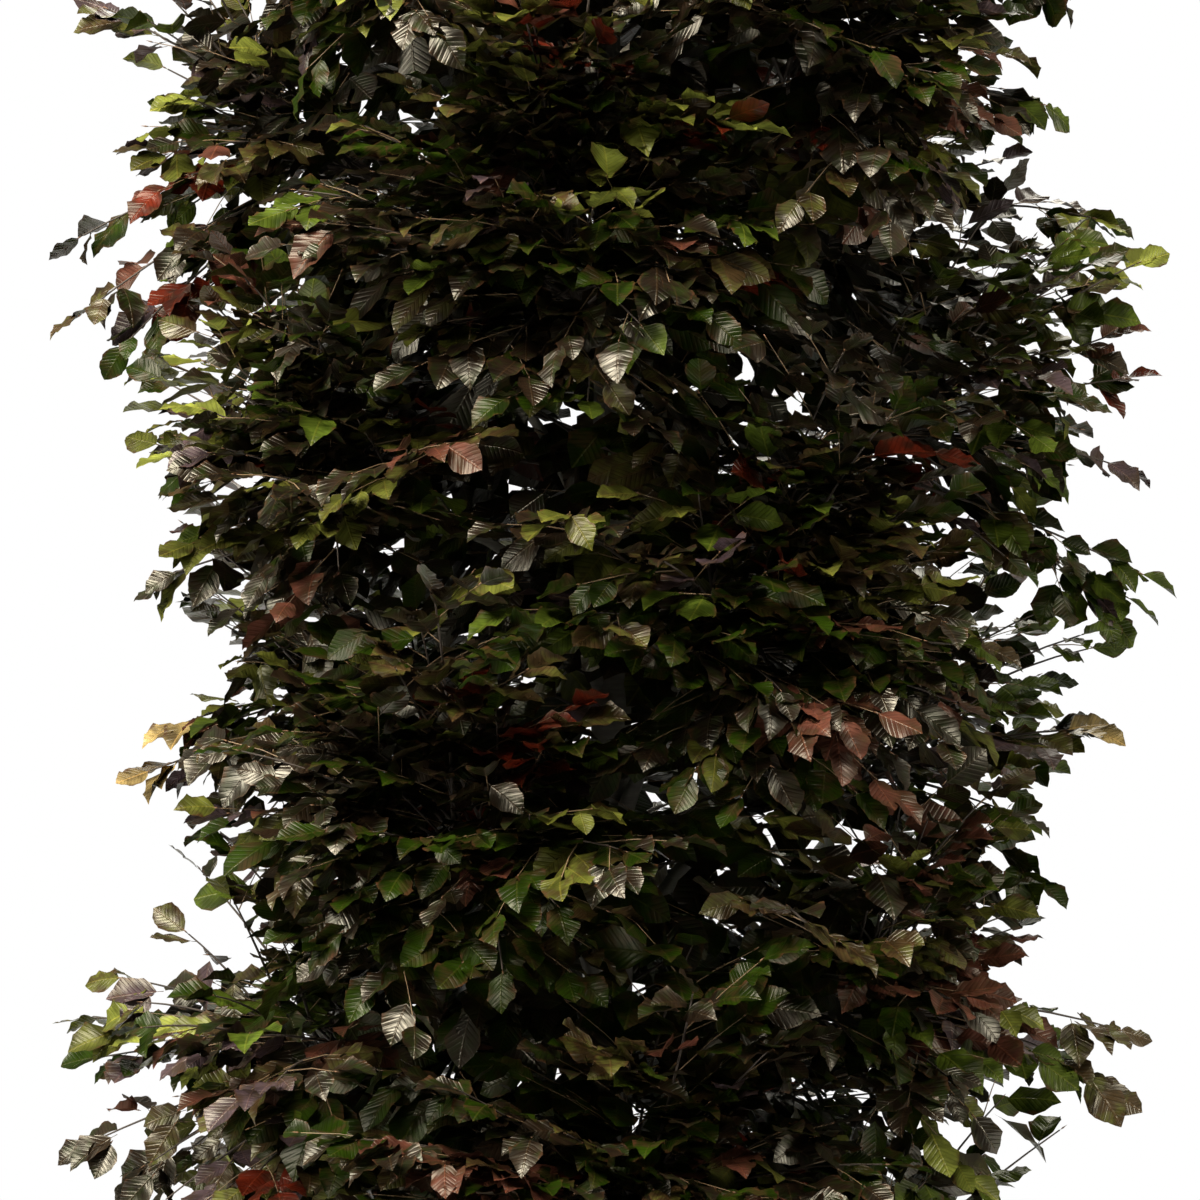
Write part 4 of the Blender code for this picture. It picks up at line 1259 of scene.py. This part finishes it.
class BEECH_OT_stage(bpy.types.Operator):
    """Sets up the floor, the soft lights and the camera"""

    bl_idname = "beech.stage"
    bl_label = "Stage"

    def execute(self, context):
        scene, stage = context.scene, context.scene.beech_stage
        rim = [polar(2 * math.pi * i / FLOOR_SIDES, stage.floor_radius, 0) for i in range(FLOOR_SIDES)]
        floor = new_mesh("floor", rim, faces=[list(range(FLOOR_SIDES))])
        floor.materials.append(floor_material("beech_floor", stage.floor))
        link_object("floor", floor)
        self.set_world(scene, stage.sky)
        aim = Vector((0, 0, stage.view_height))
        for name, place, size, setting, share, color in LIGHTS:
            light = bpy.data.lights.new(name, "AREA")
            light.shape, light.size, light.color = "DISK", size, color
            light.energy = getattr(stage, setting) * share
            self.turn_to(link_object(name, light), Vector(place), aim)
        camera = bpy.data.cameras.new("camera")
        camera.lens = camera.sensor_width * stage.distance / stage.view_span
        camera.clip_end = 200
        scene.camera = link_object("camera", camera)
        self.turn_to(scene.camera, Vector((0, -stage.distance, stage.view_height)), aim)
        scene.view_settings.view_transform = "Standard"
        return {"FINISHED"}

    def turn_to(self, obj, place, aim):
        turn = (aim - place).to_track_quat("-Z", "Y").to_matrix().to_4x4()
        obj.matrix_world = Matrix.Translation(place) @ turn

    def set_world(self, scene, sky):
        """White behind the tree, and a light that grows towards the zenith."""
        scene.world = bpy.data.worlds.new("beech_world")
        scene.world.use_nodes = True
        tree = scene.world.node_tree
        seen = tree.nodes["Background"]
        seen.inputs["Color"].default_value = (1, 1, 1, 1)
        heading = add_node(tree, "ShaderNodeTexCoord")["Generated"]
        inputs = {
            "Value": add_node(tree, "ShaderNodeSeparateXYZ", {0: heading})["Z"],
            "From Min": SKY_FOOT,
            "From Max": SKY_TOP,
            "To Min": SKY_LEAST * sky,
            "To Max": sky,
        }
        climb = add_node(tree, "ShaderNodeMapRange", inputs, interpolation_type="SMOOTHSTEP")[0]
        lit = add_node(tree, "ShaderNodeBackground", {"Color": SKY_COLOUR, "Strength": climb})[0]
        ray = add_node(tree, "ShaderNodeLightPath")["Is Camera Ray"]
        mix = add_node(tree, "ShaderNodeMixShader", {0: ray, 1: lit, 2: seen.outputs[0]})[0]
        feed(tree, tree.nodes["World Output"].inputs["Surface"], mix)


OPERATORS = (BEECH_OT_trunk, BEECH_OT_boughs, BEECH_OT_twigs, BEECH_OT_buds, BEECH_OT_leaves, BEECH_OT_stage)
SETTINGS = (
    ("beech_crown", BeechCrownSettings),
    ("beech_leaf", BeechLeafSettings),
    ("beech_bark", BeechBarkSettings),
    ("beech_stage", BeechStageSettings),
)


class BEECH_PT_panel(bpy.types.Panel):
    """Lists the tree's pieces and the sizes and colours that can be changed"""

    bl_idname = "BEECH_PT_panel"
    bl_label = "Copper beech"
    bl_space_type = "VIEW_3D"
    bl_region_type = "UI"
    bl_category = "Copper beech"

    def draw(self, context):
        for name, settings in SETTINGS:
            box = self.layout.box()
            for key in settings.__annotations__:
                box.prop(getattr(context.scene, name), key)
        for operator in OPERATORS:
            self.layout.operator(operator.bl_idname)


def register():
    for cls in (*(settings for _, settings in SETTINGS), *OPERATORS, BEECH_PT_panel):
        bpy.utils.register_class(cls)
    for name, settings in SETTINGS:
        setattr(bpy.types.Scene, name, PointerProperty(type=settings))


def unregister():
    for name, _ in SETTINGS:
        delattr(bpy.types.Scene, name)
    for cls in (BEECH_PT_panel, *reversed(OPERATORS), *(settings for _, settings in reversed(SETTINGS))):
        bpy.utils.unregister_class(cls)


def main():
    register()
    bpy.ops.beech.trunk()
    bpy.ops.beech.boughs()
    bpy.ops.beech.twigs()
    bpy.ops.beech.buds()
    bpy.ops.beech.leaves()
    bpy.ops.beech.stage()


if __name__ == "__main__":
    main()
